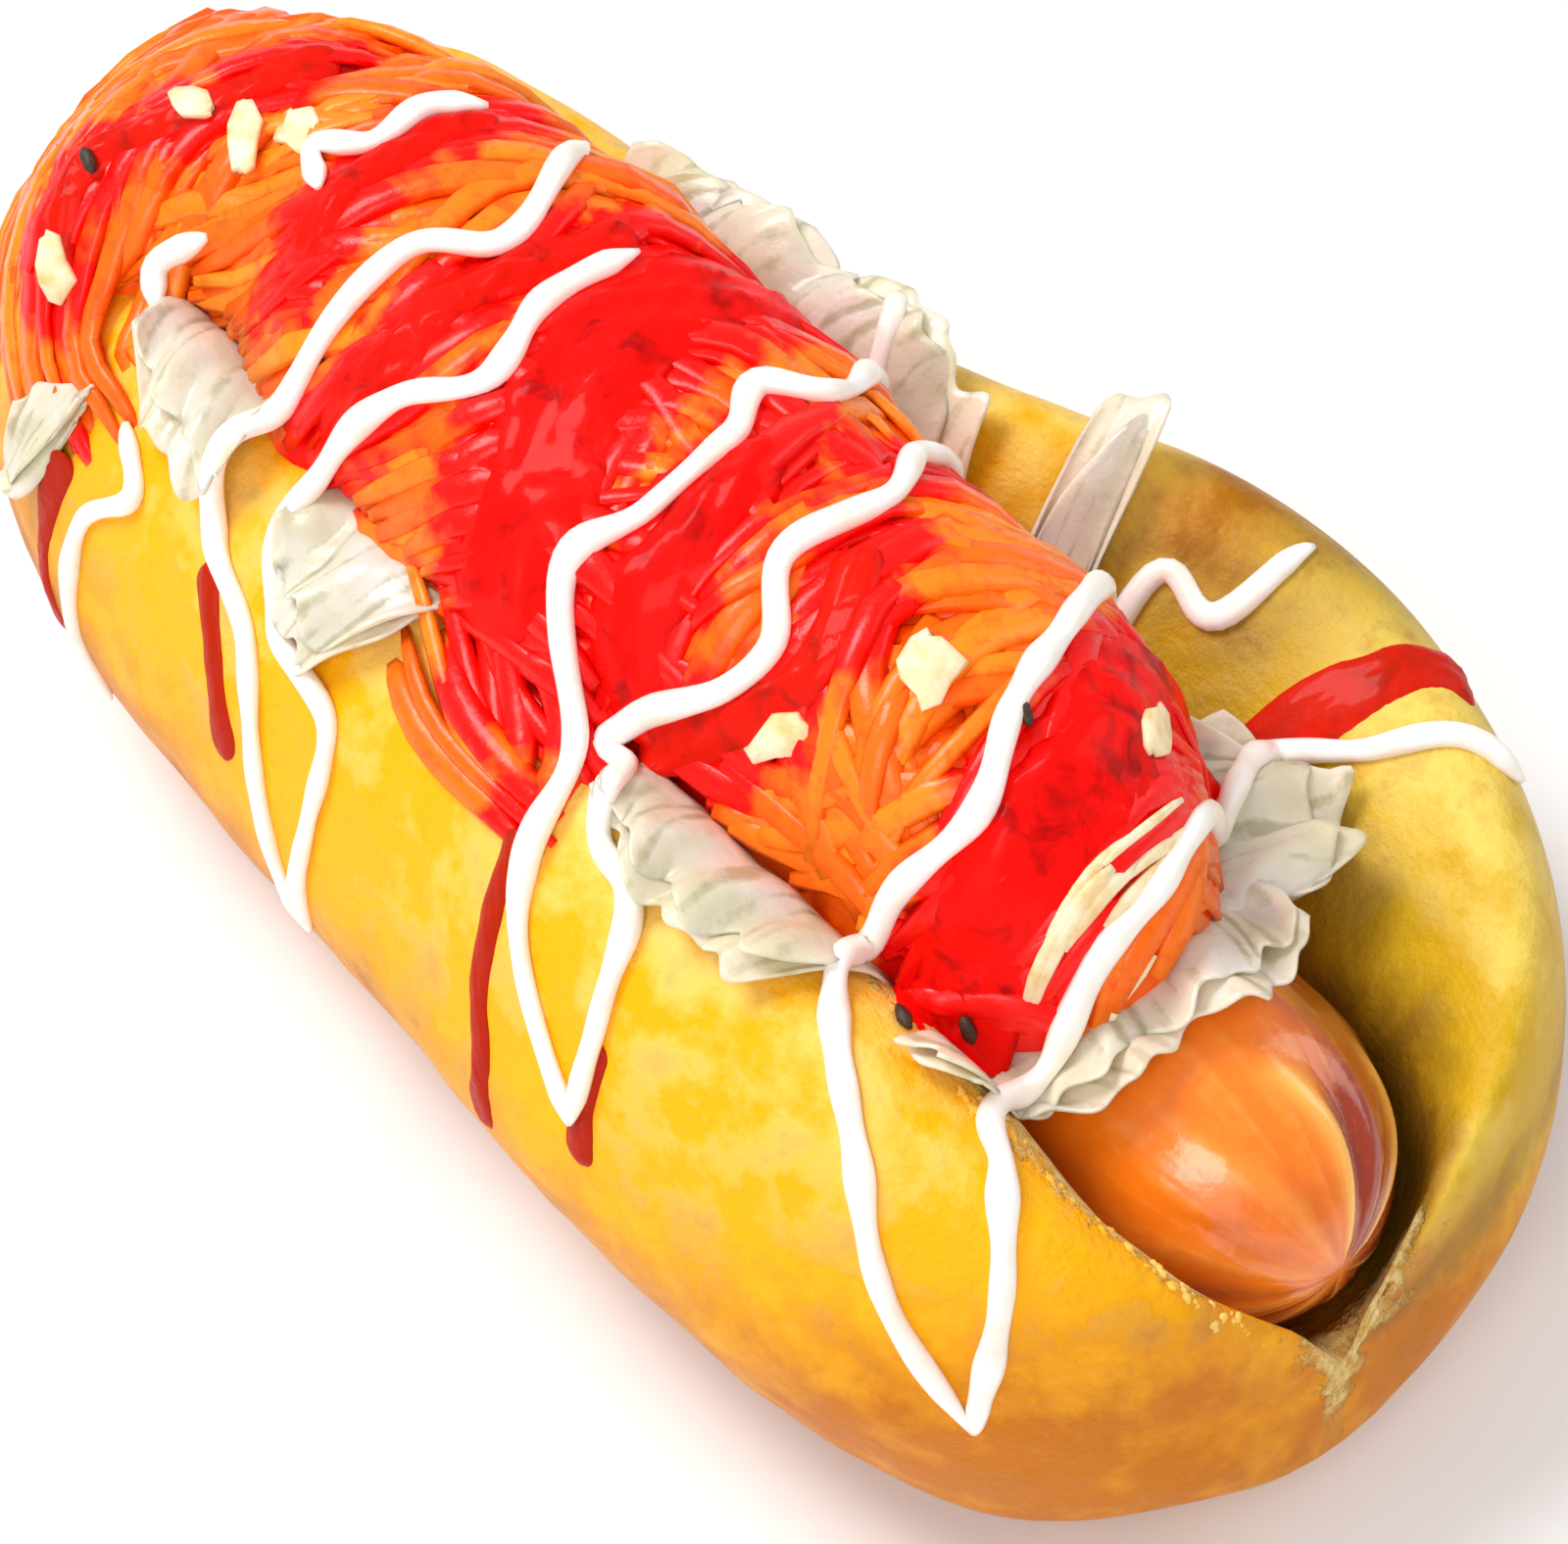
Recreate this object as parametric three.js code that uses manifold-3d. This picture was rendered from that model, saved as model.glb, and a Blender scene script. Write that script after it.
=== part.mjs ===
// A hot dog: a long bun opened along its top, a sausage lying in the opening, and a heap of
// carrot salad on top, with cabbage leaves at its edges, bands of ketchup and a zigzag of
// mayonnaise. Millimetres: +X runs towards the end where the sausage shows, +Z is up, and
// the origin is on the floor under the middle of the bun.
import * as THREE from "three";
import Module from "manifold-3d";

const { lerp, smoothstep, clamp, degToRad } = THREE.MathUtils;
const { abs, cos, hypot, min, max, pow, sign, sin, sqrt, PI } = Math;

const GAP = 0.3; // air between neighbouring pieces
const SMALLEST_DETAIL = 0.03; // finer unevenness than this is smoothed out of the heap
const LEAN_LINE_HEIGHT = -20; // of the line that leans are measured about

// Bun
const BUN_HALF_LENGTH = 75;
const BUN_HEIGHT = 47;
const LEFT_HALF_WIDTH = 35; // towards -Y, at the far end
const NEAR_LEFT_HALF_WIDTH = 37; // and near the end where the sausage shows
const RIGHT_HALF_WIDTH = 28.5; // towards +Y, where the bun is nearly closed
const OPENED_HALF_WIDTH = 46; // towards +Y, where it is folded open
const RIGHT_DROP = 4; // how much lower the right side lies
const FLAT_HALF_LENGTH = 59; // flat underside
const END_RISE = 11; // how far the underside climbs at the ends
const FLAT_SHARE = 0.5; // width of the flat underside, as a share of the bun's
const RIM_INSET = 2.4; // thickness of the rounded edge of the opening
const RIM_CRAG = 0.7; // unevenness of that edge near the sausage's end
const BUN_RINGS = 28;

// Sausage
const SAUSAGE_RADIUS = 13.4;
const SAUSAGE_HEIGHT = 26; // of its axis
const SAUSAGE_NEAR_END = 72;
const SAUSAGE_FAR_END = -69;
const SAUSAGE_TAPER = 16; // length of each rounded end
const SAUSAGE_SHIFT = 2; // sideways, at the near end
const SAUSAGE_RINGS = 18;
const SAUSAGE_SIDES = 24;

// Salad heap
const HEAP_FAR_END = -70.5;
const HEAP_NEAR_END = 53.5;
const HEAP_BASE = 37; // height of its widest level
const HEAP_TOP = 61.5;
const HEAP_CENTRE = -2; // sideways
const HEAP_LEFT = 23.5;
const HEAP_RIGHT = 19.5;
const HEAP_RINGS = 22;
const HEAP_SIDES = 20;

// Carrot strands on the heap
const STRAND_COUNT = 22;
const STRAND_HALF_WIDTH = 1.3;
const STRAND_LENGTH = 30;
const STRAND_STEP = 7; // length of each straight piece of a strand

// Sauces
const MAYO_HALF_WIDTH = 1.4;
const MAYO_STEP = 5;
const KETCHUP_THICKNESS = 1.3;
const KETCHUP_STEP = 6;

// Cabbage
const LEAF_THICKNESS = 1;
const LEAF_STEP = 4; // size of the facets along a leaf
const LEAF_ROWS = 3; // and their number across it
const LEAF_DEPTH = 57; // from the lean line: a leaf spans any gap deeper than this

// How far a strip of carrot or sauce stands out, as a share of its thickness, to make up
// for its straight pieces cutting the corner of the round surface.
const STRIP_RAISE = 0.25;

const wasm = await Module();
wasm.setup();

// Smooth, repeatable unevenness between about -1 and 1.
function ripple(a, b, seed) {
  return (
    0.5 * sin(a * 1.7 + seed) * cos(b * 1.3 - seed * 2.1) +
    0.3 * sin(a * 3.1 - b * 2.3 + seed * 1.9) +
    0.2 * cos(a * 5.3 + b * 4.7 + seed * 0.7)
  );
}

// 1 at the middle of a stretch of X, falling smoothly to 0 at half its span either side.
function bump(x, middle, span) {
  return 1 - smoothstep(abs(x - middle), 0, span);
}

function bunCap(x) {
  return pow(max(1 - pow(abs(x) / BUN_HALF_LENGTH, 3.4), 0), 0.4);
}

function bunOpening(x) {
  return smoothstep(x, -22, 33);
}

function sausageCentre(x) {
  return SAUSAGE_SHIFT * smoothstep(x, 20, 60);
}

// 1 along the middle, falling to 0 at the end in a quarter ellipse as long as the taper.
function roundedEnd(x, end, taper) {
  const past = (abs(x) - (abs(end) - taper)) / taper;
  return past <= 0 ? 1 : sqrt(max(1 - past * past, 0));
}

function sausageRadius(x) {
  return SAUSAGE_RADIUS * roundedEnd(x, x > 0 ? SAUSAGE_NEAR_END : SAUSAGE_FAR_END, SAUSAGE_TAPER);
}

// Cross-section of the bun at x, as points (y, z): the outer crust, the two lips of the
// opening and the hollow that the sausage lies in.
function bunSection(x) {
  const cap = bunCap(x);
  const open = bunOpening(x);
  const left = lerp(LEFT_HALF_WIDTH, NEAR_LEFT_HALF_WIDTH, smoothstep(x, -20, 60)) * cap;
  const right = lerp(RIGHT_HALF_WIDTH, OPENED_HALF_WIDTH, open) * cap;
  const top = BUN_HEIGHT * lerp(0.45, 1, cap);
  const bottom = END_RISE * smoothstep(abs(x), FLAT_HALF_LENGTH, 82);
  const height = top - bottom;
  const rightHeight = height - RIGHT_DROP * cap;
  const hollow = (SAUSAGE_RADIUS + 0.5) * roundedEnd(x, BUN_HALF_LENGTH - 0.5, SAUSAGE_TAPER + 1);
  const centre = sausageCentre(x) * cap;
  const floor = min(SAUSAGE_HEIGHT - hollow, top - 0.6);
  const crag = RIM_CRAG * smoothstep(x, 30, 45) * ripple(x * 1.9, 2, 5) * min(cap * 2, 1);
  const leftRim = min(hollow + RIM_INSET, 0.8 * left) - crag;
  const rightRim = lerp(min(hollow + RIM_INSET, 0.8 * right), 0.62 * right, open);
  const wall = min(SAUSAGE_HEIGHT + 2, top - 0.3);
  const points = [
    [-FLAT_SHARE * left, bottom],
    [-0.82 * left, bottom + 0.14 * height],
    [-left, bottom + 0.45 * height],
    [-lerp(leftRim, left, 0.91), bottom + 0.7 * height],
    [-lerp(leftRim, left, 0.63), bottom + 0.92 * height],
    [-lerp(leftRim, left, 0.3), top],
    [centre - leftRim, bottom + 0.93 * height + crag],
    [centre - hollow, wall],
    [centre - 0.87 * hollow, lerp(SAUSAGE_HEIGHT, floor, 0.5)],
    [centre - 0.5 * hollow, lerp(SAUSAGE_HEIGHT, floor, 0.87)],
    [centre, floor],
    [centre + 0.5 * hollow, lerp(SAUSAGE_HEIGHT, floor, 0.87)],
    [centre + lerp(0.87, 0.95, open) * hollow, lerp(SAUSAGE_HEIGHT, floor, 0.5)],
    [centre + lerp(1, 1.22, open) * hollow, wall],
    [rightRim, bottom + lerp(0.93, 0.84, open) * rightHeight],
    [lerp(rightRim, right, lerp(0.3, 0.45, open)), bottom + rightHeight],
    [lerp(rightRim, right, lerp(0.63, 0.78, open)), bottom + 0.92 * rightHeight],
    [lerp(rightRim, right, 0.95), bottom + 0.7 * rightHeight],
    [right, bottom + 0.42 * rightHeight],
    [0.82 * right, bottom + 0.13 * rightHeight],
    [FLAT_SHARE * right, bottom],
  ];
  const outline = new THREE.CatmullRomCurve3(points.map(([y, z]) => new THREE.Vector3(x, y, z)));
  const ring = [];
  const steps = 2 * (points.length - 1);
  for (let i = 0; i <= steps; i += 1) {
    const point = outline.getPoint(i / steps);
    point.z = max(point.z, bottom);
    ring.push(point);
  }
  ring.push(new THREE.Vector3(x, -0.25 * left, bottom));
  return ring;
}

// A closed surface through a row of rings with the same number of points, closed at each end
// by a fan to a pole.
function skin(rings, firstPole, lastPole) {
  const sides = rings[0].length;
  const points = rings.flat();
  const faces = [];
  const vertex = (ring, side) => ring * sides + (side % sides);
  rings.slice(1).forEach((_, ring) => {
    for (let side = 0; side < sides; side += 1) {
      const a = vertex(ring, side);
      const b = vertex(ring, side + 1);
      const c = vertex(ring + 1, side + 1);
      const d = vertex(ring + 1, side);
      faces.push(a, b, c, a, c, d);
    }
  });
  const first = points.push(firstPole) - 1;
  const last = points.push(lastPole) - 1;
  for (let side = 0; side < sides; side += 1) {
    faces.push(first, vertex(0, side + 1), vertex(0, side));
    faces.push(last, vertex(rings.length - 1, side), vertex(rings.length - 1, side + 1));
  }
  const geometry = new THREE.BufferGeometry().setFromPoints(points);
  geometry.setIndex(faces);
  geometry.computeVertexNormals();
  return geometry;
}

function solidOf(geometry) {
  const make = (faces) =>
    new wasm.Manifold(
      new wasm.Mesh({
        numProp: 3,
        vertProperties: new Float32Array(geometry.attributes.position.array),
        triVerts: new Uint32Array(faces),
      }),
    );
  const faces = Array.from(geometry.index.array);
  const solid = make(faces);
  return solid.volume() > 0 ? solid : make(faces.reverse());
}

// The same solid with every vertex moved outwards.
function grown(solid, distance) {
  const geometry = geometryOf(solid);
  geometry.computeVertexNormals();
  const { position, normal } = geometry.attributes;
  const point = new THREE.Vector3();
  const outward = new THREE.Vector3();
  for (let i = 0; i < position.count; i += 1) {
    point.fromBufferAttribute(position, i);
    outward.fromBufferAttribute(normal, i);
    point.addScaledVector(outward, distance);
    position.setXYZ(i, point.x, point.y, point.z);
  }
  return solidOf(geometry);
}

function geometryOf(solid) {
  const mesh = solid.getMesh();
  const geometry = new THREE.BufferGeometry();
  geometry.setAttribute("position", new THREE.BufferAttribute(mesh.vertProperties, 3));
  geometry.setIndex(new THREE.BufferAttribute(mesh.triVerts, 1));
  return geometry;
}

// The biggest connected piece of a solid.
function largest(solid) {
  return solid.decompose().reduce((best, piece) => (piece.volume() > best.volume() ? piece : best));
}

// Stations along X, closer together towards both ends.
function stations(from, to, count) {
  const middle = (from + to) / 2;
  const half = (to - from) / 2;
  return Array.from({ length: count }, (_, i) => {
    const turn = PI * ((i + 0.5) / count - 0.5);
    return middle + half * (0.55 * sin(turn) + 0.45 * (turn / (PI / 2)));
  });
}

function bunSolid() {
  const rings = stations(-BUN_HALF_LENGTH, BUN_HALF_LENGTH, BUN_RINGS).map(bunSection);
  const pole = 0.42 * BUN_HEIGHT;
  return solidOf(
    skin(
      rings,
      new THREE.Vector3(-BUN_HALF_LENGTH, 0, pole),
      new THREE.Vector3(BUN_HALF_LENGTH, 0, pole),
    ),
  );
}

// The casing is twisted shut at the tip, and folds run out from the twist.
function sausageSolid() {
  const rings = stations(SAUSAGE_FAR_END, SAUSAGE_NEAR_END, SAUSAGE_RINGS).map((x) => {
    const radius = sausageRadius(x);
    const fold = smoothstep(abs(x), 58, 70);
    return Array.from({ length: SAUSAGE_SIDES }, (_, i) => {
      const turn = (2 * PI * i) / SAUSAGE_SIDES;
      const crease = 1 - 0.09 * fold * pow(abs(sin(2.5 * turn)), 3);
      return new THREE.Vector3(
        x,
        sausageCentre(x) + radius * crease * cos(turn),
        SAUSAGE_HEIGHT + radius * crease * sin(turn),
      );
    });
  });
  return solidOf(
    skin(
      rings,
      new THREE.Vector3(SAUSAGE_FAR_END, 0, SAUSAGE_HEIGHT),
      new THREE.Vector3(SAUSAGE_NEAR_END, SAUSAGE_SHIFT, SAUSAGE_HEIGHT),
    ),
  );
}

// Outer form of the salad, before the bun and the sausage are taken out of it.
function heapBlob() {
  const rings = stations(HEAP_FAR_END, HEAP_NEAR_END, HEAP_RINGS).map((x) => {
    const along = (2 * (x - HEAP_FAR_END)) / (HEAP_NEAR_END - HEAP_FAR_END) - 1;
    const cap = pow(max(1 - pow(abs(along), along < 0 ? 3.4 : 4), 0), 0.42);
    const narrow = 6.5 * smoothstep(x, 6, 26) + 5 * bump(x, -36, 14) - 8.5 * bump(x, -57, 17);
    const left = (HEAP_LEFT - narrow) * cap;
    const base = HEAP_BASE - 5 * smoothstep(-x, 44, 58);
    const right = (HEAP_RIGHT + 3 * bump(x, 38, 20) - 3 * smoothstep(-x, 20, 55)) * cap;
    const up = (HEAP_TOP - 3 * smoothstep(-x, 25, 60) - base) * cap;
    return Array.from({ length: HEAP_SIDES }, (_, i) => {
      const turn = (2 * PI * i) / HEAP_SIDES;
      const across = sign(cos(turn)) * pow(abs(cos(turn)), 0.85);
      const upward = sign(sin(turn)) * pow(abs(sin(turn)), 0.9);
      const lump = 1 + 0.05 * ripple(x * 0.16, turn * 2, 1);
      return new THREE.Vector3(
        x,
        HEAP_CENTRE + (across > 0 ? right : left) * across * lump,
        base + (upward > 0 ? up * lump : 12 * cap) * upward,
      );
    });
  });
  return solidOf(
    skin(
      rings,
      new THREE.Vector3(HEAP_FAR_END, HEAP_CENTRE, HEAP_BASE + 3),
      new THREE.Vector3(HEAP_NEAR_END, HEAP_CENTRE, HEAP_BASE + 5),
    ),
  );
}

// A place on the outside of the hot dog is given by x and by its lean: the angle from
// straight up, in degrees, as seen from a line that runs along X under the bun, positive
// towards +Y. A degree is then about a millimetre. This finds the place on the outermost of
// the pieces, with the directions that point away from the surface and from that line.
const seeker = new THREE.Raycaster();

function placeOn(pieces, x, lean) {
  const turn = degToRad(lean);
  const outward = new THREE.Vector3(0, sin(turn), cos(turn));
  const start = new THREE.Vector3(x, 0, LEAN_LINE_HEIGHT).addScaledVector(outward, 200);
  seeker.set(start, outward.clone().negate());
  const hit = seeker.intersectObjects(pieces, false)[0];
  return hit && { name: hit.object.name, point: hit.point, up: hit.face.normal.clone(), outward };
}

// Follows a line of (x, lean) points over the pieces, and cuts it where it passes from one
// piece to the next. Each run is the list of its places, about `step` apart.
function runsOver(pieces, line, step) {
  const curve = new THREE.SplineCurve(line.map(([x, lean]) => new THREE.Vector2(x, lean)));
  const dense = curve.getPoints(24 * line.length).map(({ x, y }) => placeOn(pieces, x, y));
  const runs = [];
  let run = [];
  let travelled = 0;
  dense.forEach((place, i) => {
    const before = dense[i - 1];
    const jumped = before && place && before.point.distanceTo(place.point) > 3.5;
    if (before && (!place || place.name !== before.name || jumped)) {
      runs.push(run);
      run = [];
    }
    if (!place) return;
    travelled = run.length ? travelled + before.point.distanceTo(place.point) : step;
    if (travelled >= step) {
      run.push(place);
      travelled = 0;
    }
  });
  runs.push(run);
  return runs.filter((places) => places.length > 2);
}

// A strip of sauce or carrot lying along a run of places. Its section is flat underneath,
// where it sinks into the surface, and rounded on top.
function strip(places, halfWidth, thickness) {
  const rings = places.map((place, i) => {
    const before = places[max(i - 1, 0)];
    const after = places[min(i + 1, places.length - 1)];
    const along = after.point.clone().sub(before.point).normalize();
    const up = before.up.clone().add(place.up).add(after.up);
    up.addScaledVector(along, -up.dot(along)).normalize();
    const across = along.clone().cross(up);
    const end = i === 0 || i === places.length - 1 ? 0.55 : 1;
    const section = [[-1, -0.5], [-0.6, 0.8], [0.6, 0.8], [1, -0.5]];
    return section.map(([side, rise]) =>
      place.point
        .clone()
        .addScaledVector(across, side * halfWidth * end)
        .addScaledVector(up, (rise * end + STRIP_RAISE) * thickness),
    );
  });
  const centre = (ring) =>
    ring.reduce((sum, p) => sum.add(p), new THREE.Vector3()).divideScalar(ring.length);
  return solidOf(skin(rings, centre(rings[0]), centre(rings[rings.length - 1])));
}

// A ruffled leaf as a thin sheet over the pieces. `inner` and `outer` are its two long
// edges, each from one (x, lean) corner to the other; the outer edge stands off by `lift`.
function leafSolid(pieces, { inner, outer, lift, ruffle, waves }) {
  const corner = (edge, u) => [lerp(edge[0][0], edge[1][0], u), lerp(edge[0][1], edge[1][1], u)];
  const place = (u, v) => {
    const [x0, lean0] = corner(inner, u);
    const [x1, lean1] = corner(outer, u);
    return placeOn(pieces, lerp(x0, x1, v), lerp(lean0, lean1, v));
  };
  const edgeLength = place(0, 0.5).point.distanceTo(place(1, 0.5).point);
  const columns = max(Math.round(edgeLength / LEAF_STEP), 4);
  const rows = LEAF_ROWS;
  const faces = [];
  const points = [];
  const index = (i, j, side) => 2 * (i * (rows + 1) + j) + side;
  for (let i = 0; i <= columns; i += 1) {
    for (let j = 0; j <= rows; j += 1) {
      const u = i / columns;
      const v = j / rows;
      const tongue = v * (1 - 0.35 * pow(abs(2 * u - 1), 3) + 0.12 * ripple(i * 2.1, v, waves));
      const { point, outward } = place(u, tongue);
      const depth = hypot(point.y, point.z - LEAN_LINE_HEIGHT);
      point.addScaledVector(outward, max(LEAF_DEPTH - depth, 0));
      const wave = ruffle * v * sin(2 * PI * waves * u + 2 * v) + 0.3 * ripple(i, j, 2);
      const height = GAP + 0.2 + lift * v * v + max(wave + ruffle * v, 0);
      points.push(point.clone().addScaledVector(outward, height));
      points.push(point.clone().addScaledVector(outward, height + LEAF_THICKNESS));
    }
  }
  for (let i = 0; i < columns; i += 1) {
    for (let j = 0; j < rows; j += 1) {
      const low = [index(i, j, 0), index(i + 1, j, 0), index(i + 1, j + 1, 0), index(i, j + 1, 0)];
      const high = low.map((k) => k + 1);
      faces.push(low[0], low[1], low[2], low[0], low[2], low[3]);
      faces.push(high[0], high[2], high[1], high[0], high[3], high[2]);
    }
  }
  const wall = (a, b) => faces.push(a, a + 1, b + 1, a, b + 1, b);
  for (let i = 0; i < columns; i += 1) {
    wall(index(i, 0, 0), index(i + 1, 0, 0));
    wall(index(i + 1, rows, 0), index(i, rows, 0));
  }
  for (let j = 0; j < rows; j += 1) {
    wall(index(0, j + 1, 0), index(0, j, 0));
    wall(index(columns, j, 0), index(columns, j + 1, 0));
  }
  const geometry = new THREE.BufferGeometry().setFromPoints(points);
  geometry.setIndex(faces);
  return solidOf(geometry);
}

// Where the leaves show: along the left side from the far end, across the near end, and back
// along the right side.
const LEAVES = [
  { inner: [[-48, -25], [-40, -25]], outer: [[-51, -35], [-41, -32]], lift: 1, ruffle: 0.5, waves: 1.5 },
  { inner: [[-41, -16], [-26, -13]], outer: [[-36, -23], [-20, -25]], lift: 1.5, ruffle: 0.8, waves: 3 },
  { inner: [[-17, -19], [-1, -18]], outer: [[-15, -25], [-5, -27]], lift: 0.8, ruffle: 0.6, waves: 2 },
  { inner: [[19, -17], [42, -13]], outer: [[21, -21], [40, -22]], lift: 1, ruffle: 0.8, waves: 3.5 },
  { inner: [[50, -16], [48, 13]], outer: [[57, -15], [59, 12]], lift: 1.5, ruffle: 1, waves: 3 },
  { inner: [[32, 16], [50, 11]], outer: [[37, 25], [53, 21]], lift: 2.5, ruffle: 0.8, waves: 2.5 },
  { inner: [[14, 16], [23, 16]], outer: [[10, 24], [18, 25]], lift: 6, ruffle: 0.8, waves: 1.5 },
  { inner: [[-36, 13], [6, 15]], outer: [[-31, 19], [9, 21]], lift: 3, ruffle: 0.9, waves: 5 },
];

// Each line of mayonnaise, as (x, lean) points. Most start on the right, cross the heap and
// run down the left side of the bun to a tip, where the next one turns back.
const MAYO_LINES = [
  [[-32, 4], [-34, 0], [-33, -4], [-36, -6], [-32, -8]],
  [[-40, -13], [-43, -16], [-40, -18]],
  [[-24, 7], [-19, -3], [-23, -11], [-24, -21], [-15, -28], [-10, -35], [-4, -43]],
  [[-4, -43], [-4, -28], [-12, -26], [-16, -20], [-13, -13], [-8, -9], [-11, -4], [-11, 3]],
  [[-12, 24], [-6, 19], [6, 5], [8, -2], [8, -13], [16, -19], [20, -28], [27, -33], [31, -36]],
  [[31, -36], [27, -22], [16, -17], [22, -11], [19, -5], [19, 2], [14, 7], [9, 22]],
  [[28, 31], [21, 25], [27, 14], [38, -1], [42, -6], [40, -14], [52, -23], [58, -28], [64, -31]],
  [[64, -31], [64, -22], [55, -15], [51, 0], [45, 11], [39, 20], [44, 27], [52, 33]],
  [[-36, -24], [-32, -27], [-37, -31], [-37, -39], [-36, -44]],
];

// Ketchup: wide bands over the heap, and narrow drips on the bun.
const KETCHUP_BANDS = [
  { halfWidth: 5.5, line: [[-7, 14], [-6, 4], [-3, -6], [1, -12], [7, -17]] },
  { halfWidth: 3.5, line: [[-13, 3], [-16, -6], [-16, -12], [-18, -17]] },
  { halfWidth: 4.5, line: [[10, -1], [13, -8], [14, -12], [17, -15]] },
  { halfWidth: 2.5, line: [[15, 4], [17, 10], [16, 16]] },
  { halfWidth: 2.5, line: [[18, -16], [23, -12], [26, -8], [22, -1]] },
  { halfWidth: 5, line: [[37, 18], [38, 10], [44, 0], [46, -8], [46, -15]] },
  { halfWidth: 4, line: [[-46, 0], [-49, -9], [-53, -15], [-49, -22]] },
  { halfWidth: 3.5, line: [[-31, 3], [-31, -6], [-29, -11]] },
  { halfWidth: 1.6, line: [[19, -31], [22, -35], [24, -40]] },
  { halfWidth: 1.8, line: [[32, -29], [33, -36], [33, -40]] },
  { halfWidth: 2, line: [[-17, -31], [-16, -39]] },
  { halfWidth: 2.2, line: [[37, 25], [40, 30], [42, 35]] },
  { halfWidth: 1.6, line: [[-43, -30], [-45, -38], [-44, -44]] },
];

// Repeatable random numbers from 0 to 1.
function randomSource(seed) {
  let state = seed;
  return () => {
    state = (state * 1664525 + 1013904223) % 4294967296;
    return state / 4294967296;
  };
}

// Strands spread over the heap: a golden-ratio walk keeps their middles apart, and each
// has a heading, a length and a bend of its own.
function strandLines() {
  const random = randomSource(7);
  return Array.from({ length: STRAND_COUNT }, (_, i) => {
    const x = lerp(HEAP_FAR_END + 10, HEAP_NEAR_END - 8, (i + 0.5) / STRAND_COUNT);
    const lean = lerp(-18, 16, (i * 0.618) % 1);
    const heading = random() * PI;
    const reach = STRAND_LENGTH * lerp(0.35, 0.6, random());
    const bend = lerp(-6, 6, random());
    const at = (t) => {
      const along = x + reach * t * cos(heading) - bend * t * t * sin(heading);
      const around = lean + reach * t * sin(heading) + bend * t * t * cos(heading);
      return [clamp(along, HEAP_FAR_END + 6, HEAP_NEAR_END - 4), around];
    };
    return [at(-1), at(-0.3), at(0.35), at(1)];
  });
}

function meshOf(name, solid) {
  const mesh = new THREE.Mesh(geometryOf(solid));
  mesh.name = name;
  return mesh;
}

const union = (solids) => wasm.Manifold.union(solids);

const bareBun = bunSolid();
const sausage = sausageSolid();
const keepOut = union([grown(bareBun, GAP), grown(sausage, GAP)]);
const bareHeap = largest(heapBlob().subtract(keepOut));
const heapRoom = grown(bareHeap, GAP);

// The near strip of cabbage lies over the sausage, and the others over the bun.
const lying = [meshOf("bun", bareBun), meshOf("sausage", sausage)];
const bareLeaves = [];
for (const shape of LEAVES) {
  const taken = union([keepOut, heapRoom, ...bareLeaves.map((leaf) => grown(leaf, GAP))]);
  bareLeaves.push(largest(leafSolid(lying, shape).subtract(taken)));
}

const leafName = (i) => "cabbage_" + (i + 1);
const bare = new Map([["bun", bareBun], ["sausage", sausage], ["carrot_salad", bareHeap]]);
bareLeaves.forEach((leaf, i) => bare.set(leafName(i), leaf));
const pieces = [...bare].map(([name, solid]) => meshOf(name, solid));
const room = new Map([...bare].map(([name, solid]) => [name, grown(solid, GAP)]));

// What is fused to each piece: a line is laid on the pieces named in `onto`, in strips
// that end where it passes to another piece.
const extras = new Map([...bare.keys()].map((name) => [name, []]));

function lay(line, halfWidth, thickness, step, onto) {
  for (const run of runsOver(pieces, line, step)) {
    const { name } = run[0];
    if (onto.includes(name)) extras.get(name).push(strip(run, halfWidth, thickness));
  }
}

for (const line of strandLines()) {
  lay(line, STRAND_HALF_WIDTH, STRAND_HALF_WIDTH, STRAND_STEP, ["carrot_salad"]);
}
for (const { halfWidth, line } of KETCHUP_BANDS) {
  lay(line, halfWidth, KETCHUP_THICKNESS, KETCHUP_STEP, ["carrot_salad", "bun"]);
}
for (const line of MAYO_LINES) {
  lay(line, MAYO_HALF_WIDTH, MAYO_HALF_WIDTH, MAYO_STEP, [...bare.keys()]);
}

// The piece with all that is laid on it, which is first cut clear of every other piece and of
// what lies on the pieces finished earlier. The heap is then smoothed a little.
function finish(name) {
  const piece = bare.get(name);
  if (!extras.get(name).length) return piece;
  const others = [...room].filter(([other]) => other !== name).map(([, solid]) => solid);
  const dressing = union(extras.get(name)).subtract(union(others));
  room.set(name, union([room.get(name), grown(dressing, GAP)]));
  const whole = largest(union([piece, dressing]));
  return name === "carrot_salad" ? largest(whole.simplify(SMALLEST_DETAIL)) : whole;
}

const hotDog = new THREE.Group();

function addPiece(name, color, roughness) {
  const mesh = meshOf(name, finish(name));
  mesh.material = new THREE.MeshStandardMaterial({ color, roughness, metalness: 0 });
  hotDog.add(mesh);
}

bareLeaves.forEach((_, i) => addPiece(leafName(i), 0xe6e8cc, 0.45));
addPiece("carrot_salad", 0xf0501e, 0.4);
addPiece("sausage", 0xe0661f, 0.3);
addPiece("bun", 0xf5bb2e, 0.55);

export default hotDog;
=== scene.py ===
"""A hot dog: a baked bun opened along its top, a sausage, a heap of carrot salad, cabbage
leaves, ketchup and mayonnaise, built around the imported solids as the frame.

Forms are worked out in millimetres in the frame's own axes: +X runs to the end where the
sausage shows, +Z is up. A place on the outside is given by x and by its lean, the angle
from straight up, in degrees, about a line that runs along X under the bun.
"""

from collections import namedtuple

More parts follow.
